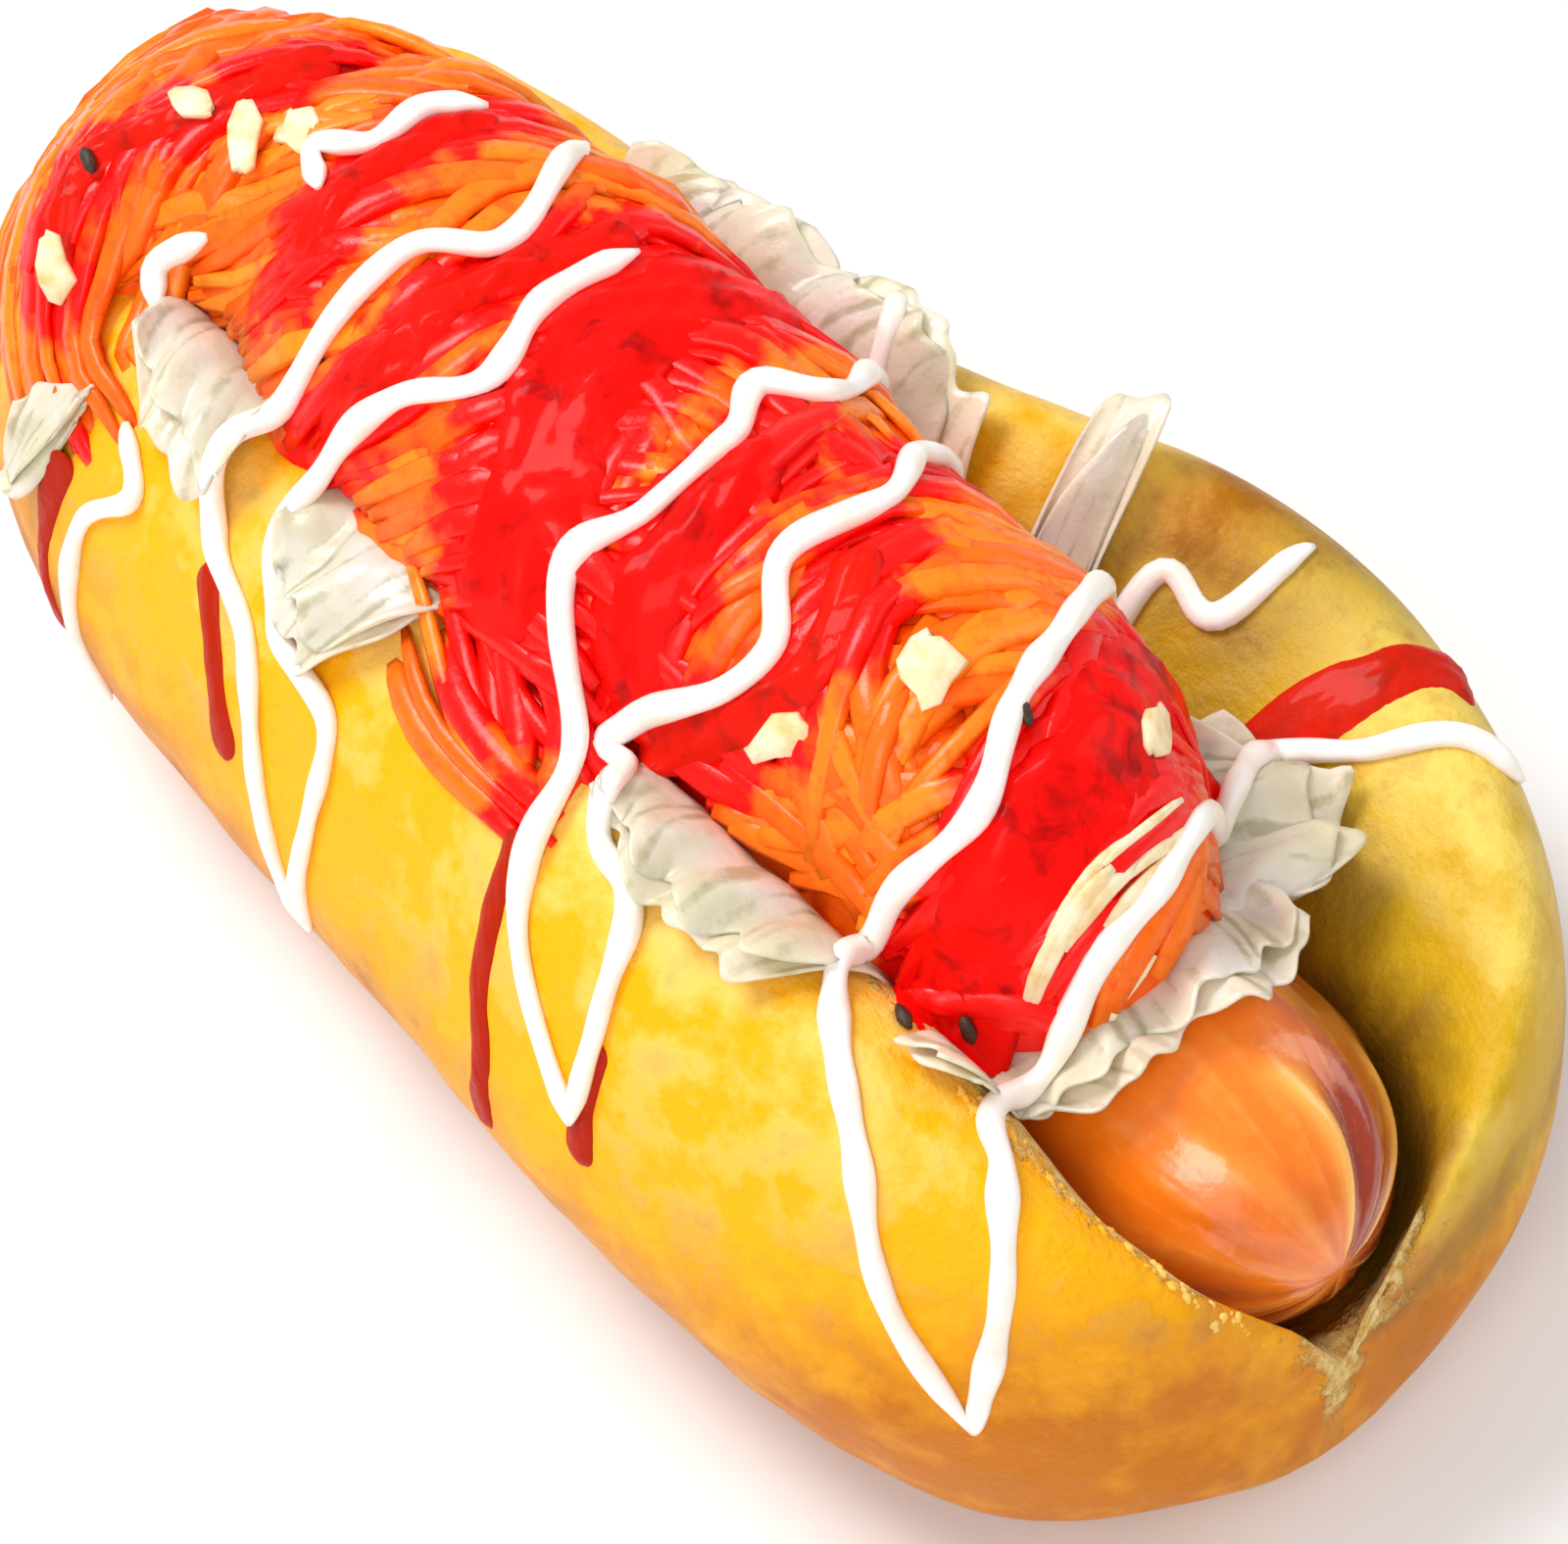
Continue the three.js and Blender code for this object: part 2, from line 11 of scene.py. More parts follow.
import bpy
import numpy as np
from bpy.props import FloatProperty, FloatVectorProperty, IntProperty, PointerProperty
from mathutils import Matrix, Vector, noise
from mathutils.bvhtree import BVHTree


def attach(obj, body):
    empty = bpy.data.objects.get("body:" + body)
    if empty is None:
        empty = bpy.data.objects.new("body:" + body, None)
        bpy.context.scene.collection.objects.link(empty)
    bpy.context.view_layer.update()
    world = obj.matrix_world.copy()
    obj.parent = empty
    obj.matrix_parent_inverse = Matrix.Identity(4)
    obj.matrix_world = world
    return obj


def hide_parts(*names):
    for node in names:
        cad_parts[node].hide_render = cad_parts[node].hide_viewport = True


bl_info = {
    "name": "Hot dog",
    "version": (1, 0, 0),
    "blender": (4, 5, 0),
    "location": "3D View > Sidebar > Hot dog",
    "description": "Builds a dressed hot dog, piece by piece",
    "category": "Object",
}

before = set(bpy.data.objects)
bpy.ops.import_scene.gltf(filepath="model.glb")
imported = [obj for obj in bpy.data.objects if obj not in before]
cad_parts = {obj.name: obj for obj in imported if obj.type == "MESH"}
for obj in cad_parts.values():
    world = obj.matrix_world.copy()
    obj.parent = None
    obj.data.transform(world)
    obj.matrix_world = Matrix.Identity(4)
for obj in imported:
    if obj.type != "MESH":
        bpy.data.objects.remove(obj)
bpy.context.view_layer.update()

METRES = 0.001  # in a millimetre
LEAN_LINE_HEIGHT = -20  # of the line that leans are measured about

# Millimetres that a degree of lean spans
CRUST_DEGREE = 1.1
SAUCE_DEGREE = 1.3
HEAP_DEGREE = 1.35

# Bun
BUN_HALF_LENGTH = 75
BUN_HEIGHT = 47
LEFT_HALF_WIDTH = 35  # towards -Y, at the far end
NEAR_LEFT_HALF_WIDTH = 37  # and near the end where the sausage shows
RIGHT_HALF_WIDTH = 28.5  # towards +Y, where the bun is nearly closed
OPENED_HALF_WIDTH = 46  # towards +Y, where it is folded open
OPENING_START = -22
OPENING_END = 33
RIGHT_DROP = 4  # how much lower the right side lies
FLAT_HALF_LENGTH = 59  # of the flat underside
END_RISE = 11  # height that the underside climbs towards at the ends
CLIMB_HALF_LENGTH = 82  # where it would reach that, a little past the bun
FLAT_SHARE = 0.5  # width of the flat underside, as a share of the bun's
RIM_INSET = 2.4  # thickness of the rounded edge of the opening
POLE_HEIGHT = 0.42 * BUN_HEIGHT  # of the point where the rings close at each end
BUN_RINGS = 150
BUN_SPAN_STEPS = 7  # from one corner of the section to the next
UNDERSIDE_STEPS = 8

# Sausage
SAUSAGE_RADIUS = 13.4
SAUSAGE_HEIGHT = 26  # of its axis
SAUSAGE_NEAR_END = 72
SAUSAGE_FAR_END = -69
SAUSAGE_TAPER = 16  # length of each rounded end
SAUSAGE_SHIFT = 2  # sideways, at the near end
SAUSAGE_RINGS = 140
SAUSAGE_SIDES = 180

# Salad heap
HEAP_FAR_END = -70.5
HEAP_NEAR_END = 53.5
HEAP_BASE = 37  # height of its widest level
HEAP_TOP = 61.5
HEAP_CENTRE = -2  # sideways
HEAP_LEFT = 23.5
HEAP_RIGHT = 19.5
HEAP_SINK = 1.6  # how far the core lies under the outer shreds
HEAP_RINGS = 110
HEAP_SIDES = 90
STRAND_ROWS = 10
STRAND_SIDES = 5

# Leaves and sauces
LEAF_DEPTH = 57  # from the lean line: a leaf spans any gap deeper than this
LEAF_STEP = 0.45
LEAF_ROWS = 26
MAYONNAISE_STEP = 0.6
MAYONNAISE_SIDES = 14
BIT_SIDES = 7
RIM_CRUMBS = 190

# Camera and lights, in metres
CAMERA_TARGET = Vector((0.0113, -0.0009, 0.026))
CAMERA_BACK = Vector((0.5086, -0.3931, 0.766))  # from the target towards the camera
CAMERA_DISTANCE = 0.42
LAMPS = [  # name, place, width, share of the main light's power
    ("key", (-0.30, -0.22, 0.62), 0.3, 1),
    ("spark", (0.35, -0.44, 0.55), 0.34, 0.44),
    ("fill", (0.55, -0.65, 0.35), 0.7, 0.34),
    ("rim", (0.25, 0.6, 0.45), 0.5, 0.35),
]
WORLD_STRENGTH = 0.42


def linear(red, green, blue):
    """A screen colour, 0 to 255, as the linear colour that shaders and properties take."""
    shares = [value / 255 for value in (red, green, blue)]
    return tuple(s / 12.92 if s <= 0.04045 else ((s + 0.055) / 1.055) ** 2.4 for s in shares)


# Forms shared with the solids


def smoothstep(x, low, high):
    t = np.clip((np.asarray(x, float) - low) / (high - low), 0, 1)
    return t * t * (3 - 2 * t)


def lerp(a, b, t):
    return a + (b - a) * t


def hump(x, middle, span):
    """1 at the middle, easing to 0 at `span` from it."""
    return 1 - smoothstep(np.abs(np.asarray(x, float) - middle), 0, span)


def ripple(a, b, seed):
    """Smooth waves over two values, about -1 to 1."""
    return (
        0.5 * np.sin(a * 1.7 + seed) * np.cos(b * 1.3 - seed * 2.1)
        + 0.3 * np.sin(a * 3.1 - b * 2.3 + seed * 1.9)
        + 0.2 * np.cos(a * 5.3 + b * 4.7 + seed * 0.7)
    )


def places_along(first, last, count, even):
    """Places from first to last: the smaller `even`, the closer together near both ends."""
    turns = np.linspace(-0.5, 0.5, count) * np.pi
    share = (1 - even) * np.sin(turns) + even * turns / (np.pi / 2)
    return (first + last) / 2 + (last - first) / 2 * share


def unit(vectors, least=1e-9):
    """The vectors at length 1, but shorter where they started shorter than `least`."""
    return vectors / np.maximum(np.linalg.norm(vectors, axis=-1, keepdims=True), least)


def outward(points, y, z, least):
    """Unit vectors straight away from the line along X at y and z."""
    away = points - [0, y, z]
    away[..., 0] = 0
    return unit(away, least)


def bun_cap(x):
    return max(1 - (abs(x) / BUN_HALF_LENGTH) ** 3.4, 0) ** 0.4


def bun_opening(x):
    """How far the bun is folded open at x, 0 to 1."""
    return smoothstep(x, OPENING_START, OPENING_END)


def sausage_centre(x):
    return SAUSAGE_SHIFT * smoothstep(x, 20, 60)


def rounded_end(x, end, taper):
    past = (abs(x) - (abs(end) - taper)) / taper
    return 1.0 if past <= 0 else max(1 - past * past, 0) ** 0.5


def bun_section(x):
    """Corner points (y, z) of the bun's section: outer crust, lips and hollow."""
    cap = bun_cap(x)
    open_ = bun_opening(x)
    left = lerp(LEFT_HALF_WIDTH, NEAR_LEFT_HALF_WIDTH, float(smoothstep(x, -20, 60))) * cap
    right = lerp(RIGHT_HALF_WIDTH, OPENED_HALF_WIDTH, open_) * cap
    top = BUN_HEIGHT * lerp(0.45, 1, cap)
    bottom = END_RISE * float(smoothstep(abs(x), FLAT_HALF_LENGTH, CLIMB_HALF_LENGTH))
    height = top - bottom
    right_height = height - RIGHT_DROP * cap
    hollow = (SAUSAGE_RADIUS + 0.5) * rounded_end(x, BUN_HALF_LENGTH - 0.5, SAUSAGE_TAPER + 1)
    centre = sausage_centre(x) * cap
    floor = min(SAUSAGE_HEIGHT - hollow, top - 0.6)
    left_rim = min(hollow + RIM_INSET, 0.8 * left)
    right_rim = lerp(min(hollow + RIM_INSET, 0.8 * right), 0.62 * right, open_)
    wall = min(SAUSAGE_HEIGHT + 2, top - 0.3)
    return np.array(
        [
            [-FLAT_SHARE * left, bottom],
            [-0.82 * left, bottom + 0.14 * height],
            [-left, bottom + 0.45 * height],
            [-lerp(left_rim, left, 0.91), bottom + 0.7 * height],
            [-lerp(left_rim, left, 0.63), bottom + 0.92 * height],
            [-lerp(left_rim, left, 0.3), top],
            [centre - left_rim, bottom + 0.93 * height],
            [centre - hollow, wall],
            [centre - 0.87 * hollow, lerp(SAUSAGE_HEIGHT, floor, 0.5)],
            [centre - 0.5 * hollow, lerp(SAUSAGE_HEIGHT, floor, 0.87)],
            [centre, floor],
            [centre + 0.5 * hollow, lerp(SAUSAGE_HEIGHT, floor, 0.87)],
            [centre + lerp(0.87, 0.95, open_) * hollow, lerp(SAUSAGE_HEIGHT, floor, 0.5)],
            [centre + lerp(1, 1.22, open_) * hollow, wall],
            [right_rim, bottom + lerp(0.93, 0.84, open_) * right_height],
            [lerp(right_rim, right, lerp(0.3, 0.45, open_)), bottom + right_height],
            [lerp(right_rim, right, lerp(0.63, 0.78, open_)), bottom + 0.92 * right_height],
            [lerp(right_rim, right, 0.95), bottom + 0.7 * right_height],
            [right, bottom + 0.42 * right_height],
            [0.82 * right, bottom + 0.13 * right_height],
            [FLAT_SHARE * right, bottom],
        ]
    ), bottom


def smooth_curve(points, per_span):
    """Centripetal curve through the points, with `per_span` samples between neighbours."""
    points = np.asarray(points, float)
    first = 2 * points[0] - points[1]
    last = 2 * points[-1] - points[-2]
    padded = np.vstack([first, points, last])
    gaps = np.maximum(np.linalg.norm(np.diff(padded, axis=0), axis=1) ** 0.5, 1e-4)
    t = (np.arange(per_span) / per_span)[:, None]
    samples = []
    for i in range(1, len(padded) - 2):
        p0, p1, p2, p3 = padded[i - 1 : i + 3]
        d0, d1, d2 = gaps[i - 1 : i + 2]
        start = ((p1 - p0) / d0 - (p2 - p0) / (d0 + d1) + (p2 - p1) / d1) * d1
        end = ((p2 - p1) / d1 - (p3 - p1) / (d1 + d2) + (p3 - p2) / d2) * d1
        c2 = -3 * p1 + 3 * p2 - 2 * start - end
        c3 = 2 * p1 - 2 * p2 + start + end
        samples.append(p1 + start * t + c2 * t**2 + c3 * t**3)
    return np.vstack(samples + [points[-1:]])


def even_line(points, step):
    """The smooth curve through the points, with samples `step` apart."""
    dense = smooth_curve(points, 24)
    run = np.concatenate([[0], np.cumsum(np.linalg.norm(np.diff(dense, axis=0), axis=1))])
    count = max(int(run[-1] / step), 2) + 1
    at = np.linspace(0, run[-1], count)
    return np.stack([np.interp(at, run, dense[:, k]) for k in range(dense.shape[1])], -1)


def heap_point(x, turn, sink):
    """A point of the heap's outer form, `sink` under it."""
    along = 2 * (x - HEAP_FAR_END) / (HEAP_NEAR_END - HEAP_FAR_END) - 1
    cap = np.maximum(1 - np.abs(along) ** np.where(along < 0, 3.4, 4.0), 0) ** 0.42
    narrow = 6.5 * smoothstep(x, 6, 26) + 5 * hump(x, -36, 14) - 8.5 * hump(x, -57, 17)
    left = (HEAP_LEFT - narrow - sink) * cap
    base = HEAP_BASE - 5 * smoothstep(-x, 44, 58)
    right = (HEAP_RIGHT + 3 * hump(x, 38, 20) - 3 * smoothstep(-x, 20, 55) - sink) * cap
    up = (HEAP_TOP - 3 * smoothstep(-x, 25, 60) - base - sink) * cap
    across = np.sign(np.cos(turn)) * np.abs(np.cos(turn)) ** 0.85
    upward = np.sign(np.sin(turn)) * np.abs(np.sin(turn)) ** 0.9
    lump = 1 + 0.05 * ripple(x * 0.16, turn * 2, 1)
    y = HEAP_CENTRE + np.where(across > 0, right, left) * across * lump
    z = base + np.where(upward > 0, up * lump, 12 * cap) * upward
    return np.stack([x + 0 * y, y, z], -1)


# Making meshes


def deselect():
    bpy.ops.object.select_all(action="DESELECT")


def grid_piece(name, points):
    """A grid primitive whose vertices are put at `points`: rows, columns, millimetres."""
    rows, columns = points.shape[:2]
    deselect()
    bpy.ops.mesh.primitive_grid_add(x_subdivisions=columns - 1, y_subdivisions=rows - 1, size=1)
    piece = bpy.context.object
    piece.name = name
    piece.data.name = name
    piece.data.vertices.foreach_set("co", (points.reshape(-1, 3) * METRES).ravel())
    piece.data.update()
    return piece


def close_up(piece):
    """Merges the seam and the poles, and turns the faces outwards."""
    deselect()
    piece.select_set(True)
    bpy.context.view_layer.objects.active = piece
    bpy.ops.object.mode_set(mode="EDIT")
    bpy.ops.mesh.select_all(action="SELECT")
    bpy.ops.mesh.remove_doubles(threshold=2e-6)
    bpy.ops.mesh.normals_make_consistent(inside=False)
    bpy.ops.object.mode_set(mode="OBJECT")
    bpy.ops.object.shade_smooth()


def paint(piece, name, values):
    """Writes one number for each vertex as a named attribute for the materials."""
    attribute = piece.data.attributes.new(name, "FLOAT", "POINT")
    attribute.data.foreach_set("value", np.asarray(values, np.float32).ravel())


def tubes_piece(name, tubes, attributes=None):
    """One mesh of many closed tubes. Each tube is rows x sides x 3, in millimetres."""
    vertices, faces, start = [], [], 0
    for tube in tubes:
        rows, sides = tube.shape[:2]
        vertices.append(tube.reshape(-1, 3))
        vertices.append(tube[0].mean(0)[None])
        vertices.append(tube[-1].mean(0)[None])
        index = start + np.arange(rows * sides).reshape(rows, sides)
        ahead = np.roll(index, -1, axis=1)
        quads = np.stack([index[:-1], ahead[:-1], ahead[1:], index[1:]], -1).reshape(-1, 4)
        faces.extend(quads.tolist())
        first, last = start + rows * sides, start + rows * sides + 1
        faces.extend([first, int(b), int(a)] for a, b in zip(index[0], ahead[0]))
        faces.extend([last, int(a), int(b)] for a, b in zip(index[-1], ahead[-1]))
        start += rows * sides + 2
    mesh = bpy.data.meshes.new(name)
    mesh.from_pydata((np.vstack(vertices) * METRES).tolist(), [], faces)
    piece = bpy.data.objects.new(name, mesh)
    bpy.context.scene.collection.objects.link(piece)
    for key, per_tube in (attributes or {}).items():
        values = [np.append(v.ravel(), [v[0].mean(), v[-1].mean()]) for v in per_tube]
        paint(piece, key, np.concatenate(values))
    return piece


def sweep(centres, ups, half_widths, half_heights, section):
    """A tube along the centres, whose section's sides lie across the ups."""
    along = unit(np.gradient(centres, axis=0))
    ups = unit(ups - along * (ups * along).sum(1, keepdims=True))
    across = np.cross(along, ups)
    side = section[None, :, 0, None] * half_widths[:, None, None]
    rise = section[None, :, 1, None] * half_heights[:, None, None]
    return centres[:, None] + across[:, None] * side + ups[:, None] * rise


def round_section(sides):
    turn = 2 * np.pi * np.arange(sides) / sides
    return np.stack([np.cos(turn), np.sin(turn)], -1)


def apply_modifier(piece, modifier):
    deselect()
    piece.select_set(True)
    bpy.context.view_layer.objects.active = piece
    bpy.ops.object.modifier_apply(modifier=modifier.name)


def finish_piece(piece, material, slot, *nodes):
    """Smooth shading, material, body and the solids that the piece stands for. `slot` is not used."""
    piece.data.shade_smooth()
    piece.data.materials.clear()
    piece.data.materials.append(material)
    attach(piece, "root")
    if nodes:
        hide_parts(*nodes)


def found(name):
    piece = bpy.data.objects.get(name)
    if piece is None:
        raise RuntimeError(f"build {name} first")
    return piece


# Places on the outside


def placed(x, lean, depth):
    """Points at x that lie `depth` from the lean line, in the direction of the lean."""
    turn = np.radians(lean)
    y = np.sin(turn) * depth
    z = LEAN_LINE_HEIGHT + np.cos(turn) * depth
    return np.stack(np.broadcast_arrays(x, y, z), -1)


class Ground:
    """How far the named pieces reach from the lean line, over a grid of x and lean."""

    STEP = 0.6  # millimetres along X, and degrees of lean
    X = np.arange(-78, 78.1, STEP)
    LEANS = np.arange(-60, 60.1, STEP)
    OUTSIDE = 200  # from the lean line, where the rays towards it start

    def __init__(self, names):
        vertices, faces, start = [], [], 0
        for name in names:
            mesh = found(name).data
            co = np.empty(len(mesh.vertices) * 3)
            mesh.vertices.foreach_get("co", co)
            vertices.append(co.reshape(-1, 3) / METRES)
            faces.extend([start + v for v in face.vertices] for face in mesh.polygons)
            start += len(mesh.vertices)
        tree = BVHTree.FromPolygons(np.vstack(vertices).tolist(), faces)
        self.depth = np.zeros((len(self.X), len(self.LEANS)))
        for j, lean in enumerate(np.radians(self.LEANS)):
            outward = Vector((0, np.sin(lean), np.cos(lean)))
            start_at = Vector((0, 0, LEAN_LINE_HEIGHT)) + outward * self.OUTSIDE
            for i, x in enumerate(self.X):
                start_at.x = x
                hit = tree.ray_cast(start_at, -outward)
                self.depth[i, j] = self.OUTSIDE - hit[3] if hit[0] else 0

    def softened(self, reach):
        """The same ground with its unevenness finer than `reach` millimetres evened out."""
        soft = Ground.__new__(Ground)
        soft.depth = self.depth
        count = max(int(reach / self.STEP), 1)
        kernel = np.hanning(2 * count + 3)[1:-1]
        kernel /= kernel.sum()
        for axis in (0, 1):
            pad = [(0, 0), (0, 0)]
            pad[axis] = (count, count)
            padded = np.pad(soft.depth, pad, mode="edge")
            soft.depth = np.apply_along_axis(np.convolve, axis, padded, kernel, "valid")
        return soft

    def at(self, x, lean):
        """Depth at places between the grid's own, as one smooth sheet."""
        u = (np.asarray(x, float) - self.X[0]) / self.STEP
        v = (np.asarray(lean, float) - self.LEANS[0]) / self.STEP
        u = np.clip(u, 0, len(self.X) - 1.001)
        v = np.clip(v, 0, len(self.LEANS) - 1.001)
        i, j = u.astype(int), v.astype(int)
        s, t = u - i, v - j
        d = self.depth
        near = d[i, j] * (1 - t) + d[i, j + 1] * t
        far = d[i + 1, j] * (1 - t) + d[i + 1, j + 1] * t
        return near * (1 - s) + far * s

    def point(self, x, lean, rise=0.0):
        return placed(x, lean, self.at(x, lean) + rise)

    def up(self, x, lean):
        """Unit vectors that stand on the ground."""
        east = self.point(x + 1, lean) - self.point(x - 1, lean)
        north = self.point(x, lean + 1) - self.point(x, lean - 1)
        return unit(np.cross(east, north))


# Materials


class Recipe:
    """A material under construction: adds nodes, and links whatever is passed to them."""

    def __init__(self, name):
        self.material = bpy.data.materials.new(name)
        self.material.use_nodes = True
        self.tree = self.material.node_tree
        self.shader = self.tree.nodes["Principled BSDF"]

    def node(self, kind, inputs=None, **settings):
        node = self.tree.nodes.new(kind)
        for key, value in settings.items():
            setattr(node, key, value)
        for key, value in (inputs or {}).items():
            self.put(node.inputs[key], value)
        return node

    def put(self, socket, value):
        if isinstance(value, bpy.types.NodeSocket):
            self.tree.links.new(value, socket)
        elif isinstance(value, tuple) and len(value) == 3 and socket.type == "RGBA":
            socket.default_value = (*value, 1)
        else:
            socket.default_value = value

    def place(self):
        return self.node("ShaderNodeTexCoord").outputs["Object"]

    def attribute(self, name):
        return self.node("ShaderNodeAttribute", attribute_name=name).outputs["Fac"]

    def noise(self, scale, detail=4.0, roughness=0.55, vector=None, distortion=0.0):
        inputs = {
            "Vector": vector or self.place(),
            "Scale": scale,
            "Detail": detail,
            "Roughness": roughness,
            "Distortion": distortion,
        }
        return self.node("ShaderNodeTexNoise", inputs).outputs["Fac"]

    def stretched(self, scale):
        """Object coordinates drawn out, so that a pattern runs lengthways."""
        return self.node("ShaderNodeMapping", {"Vector": self.place(), "Scale": scale}).outputs[0]

    def blend(self, factor, low, high, mode="MIX"):
        node = self.node("ShaderNodeMix", data_type="RGBA", blend_type=mode)
        self.put(node.inputs[0], factor)
        self.put(node.inputs[6], low)
        self.put(node.inputs[7], high)
        return node.outputs[2]

    def span(self, value, low, high, to_low=0.0, to_high=1.0):
        """The value's stretch from low to high drawn out to another stretch, and held there."""
        inputs = {
            "Value": value,
            "From Min": low,
            "From Max": high,
            "To Min": to_low,
            "To Max": to_high,
        }
        return self.node("ShaderNodeMapRange", inputs).outputs[0]

    def math(self, operation, a, b):
        node = self.node("ShaderNodeMath", operation=operation)
        self.put(node.inputs[0], a)
        self.put(node.inputs[1], b)
        return node.outputs[0]

    def bump(self, height, distance, strength=1.0, under=None):
        inputs = {"Height": height, "Distance": distance, "Strength": strength}
        if under:
            inputs["Normal"] = under
        return self.node("ShaderNodeBump", inputs).outputs[0]

    def finish(self, **sockets):
        for key, value in sockets.items():
            self.put(self.shader.inputs[key.replace("_", " ")], value)
        return self.material


def crust_material(settings):
    r = Recipe("crust")
    cloud = r.noise(70, 5, 0.6)
    blotch = r.noise(210, 4, 0.6)
    speck = r.noise(430, 4, 0.65)
    fine = r.noise(1500, 3, 0.6)
    clouds = r.span(cloud, 0.34, 0.66, -0.42, 0.42)
    drift = r.math("ADD", clouds, r.span(blotch, 0.34, 0.66, -0.34, 0.34))
    # Paler patches of the crust, with a painted highlight over the top and along the ridge of the
    # folded-open side
    pale = r.span(r.math("ADD", r.attribute("pale"), drift), 0.15, 1)
    # Browner low down, at the near end, at the far left and on the folded-open side's far top: the
    # bake's browning, partly painted shade
    brown = r.span(r.math("ADD", r.attribute("brown"), r.math("MULTIPLY", drift, 0.6)), 0.12, 1)
    shade = r.span(r.math("ADD", r.attribute("shade"), r.math("MULTIPLY", drift, 0.45)), 0.15, 1)
    colour = r.blend(pale, tuple(settings.crust), tuple(settings.pale_crust))
    # The folded-open side's inner face as a shaded copy of the crust: painted shade, with paler
    # patches and a painted highlight
    lobe = r.blend(pale, tuple(settings.shaded_crust), tuple(settings.pale_lobe))
    colour = r.blend(r.attribute("shaded_lobe"), colour, lobe)
    colour = r.blend(brown, colour, tuple(settings.browned_and_shaded_crust))
    # Painted shade in the fold by the sausage, along the folded-open side's outer edge and on its far
    # top
    colour = r.blend(shade, colour, tuple(settings.painted_shade_crust))
    crumb = r.attribute("crumb")
    pores = r.noise(900, 5, 0.75)
    # Darker in the low pits of the pores: painted shade
    crumb_colour = r.blend(
        r.span(pores, 0.35, 0.6), tuple(settings.crumb_pore_shade), tuple(settings.crumb)
    )
    torn = r.span(r.math("ADD", crumb, r.span(speck, 0.3, 0.7, -0.3, 0.3)), 0.35, 0.65)
    colour = r.blend(torn, colour, crumb_colour)
    bump = r.bump(blotch, 0.0009, 0.5)
    bump = r.bump(speck, 0.0005, 0.7, bump)
    bump = r.bump(fine, 0.00012, 0.6, bump)
    bump = r.bump(r.math("MULTIPLY", pores, torn), 0.0012, 0.8, bump)
    roughness = r.span(r.math("ADD", r.span(speck, 0.3, 0.7, 0, 0.2), torn), 0, 1, 0.38, 0.85)
    return r.finish(
        Base_Color=colour, Roughness=roughness, Normal=bump, Specular_IOR_Level=0.15
    )


def casing_material(settings):
    r = Recipe("casing")
    streaks = r.math("ADD", r.attribute("streak"), r.span(r.noise(700, 3), 0.3, 0.7, -0.2, 0.2))
    cloud = r.noise(110, 4, 0.6, r.stretched((0.5, 1, 1)))
    fine = r.noise(1700, 3, 0.6)
    # Darker on the underside, on the +Y side and in the grooves of the folds: painted shade; a little
    # darker at the tip
    deep = r.span(
        r.math("ADD", r.attribute("deep"), r.span(cloud, 0.3, 0.7, -0.2, 0.2)), 0.05, 0.95
    )
    colour = r.blend(deep, tuple(settings.casing), tuple(settings.deep_casing))
    colour = r.blend(r.span(streaks, 0.5, 0.9, 0, 0.22), colour, tuple(settings.pale_casing))
    # A painted highlight along the ridges of the folds at the twist
    colour = r.blend(r.attribute("ridge_highlight"), colour, tuple(settings.pale_casing))
    bump = r.bump(streaks, 0.0003, 0.35)
    bump = r.bump(fine, 0.00006, 0.4, bump)
    return r.finish(
        Base_Color=colour,
        Roughness=r.span(streaks, 0.3, 0.7, 0.18, 0.26),
        Normal=bump,
        Specular_IOR_Level=0.5,
        Subsurface_Weight=0.1,
        Subsurface_Radius=(0.005, 0.0015, 0.0005),
        Subsurface_Scale=1.0,
        Coat_Weight=0.8,
        Coat_Roughness=0.1,
    )


def carrot_material(settings, ketchup):
    r = Recipe("carrot")
    tone = r.attribute("tone")
    fibres = r.noise(900, 3, 0.6)
    patch = r.noise(240, 3, 0.5)
    colour = r.blend(tone, tuple(settings.carrot), tuple(settings.pale_carrot))
    colour = r.blend(r.span(fibres, 0.5, 0.75, 0, 0.5), colour, tuple(settings.deep_carrot))
    wet = r.span(r.math("ADD", r.attribute("sauce"), r.span(patch, 0.3, 0.7, -0.3, 0.3)), 0.3, 0.62)
    colour = r.blend(wet, colour, tuple(ketchup))
    bump = r.bump(fibres, 0.0002, 0.5)
    bump = r.bump(patch, 0.0004, 0.3, bump)
    return r.finish(
        Base_Color=colour,
        Roughness=r.span(fibres, 0.3, 0.7, 0.25, 0.42),
        Normal=bump,
        Specular_IOR_Level=0.22,
        Coat_Weight=0.15,
        Coat_Roughness=0.12,
    )


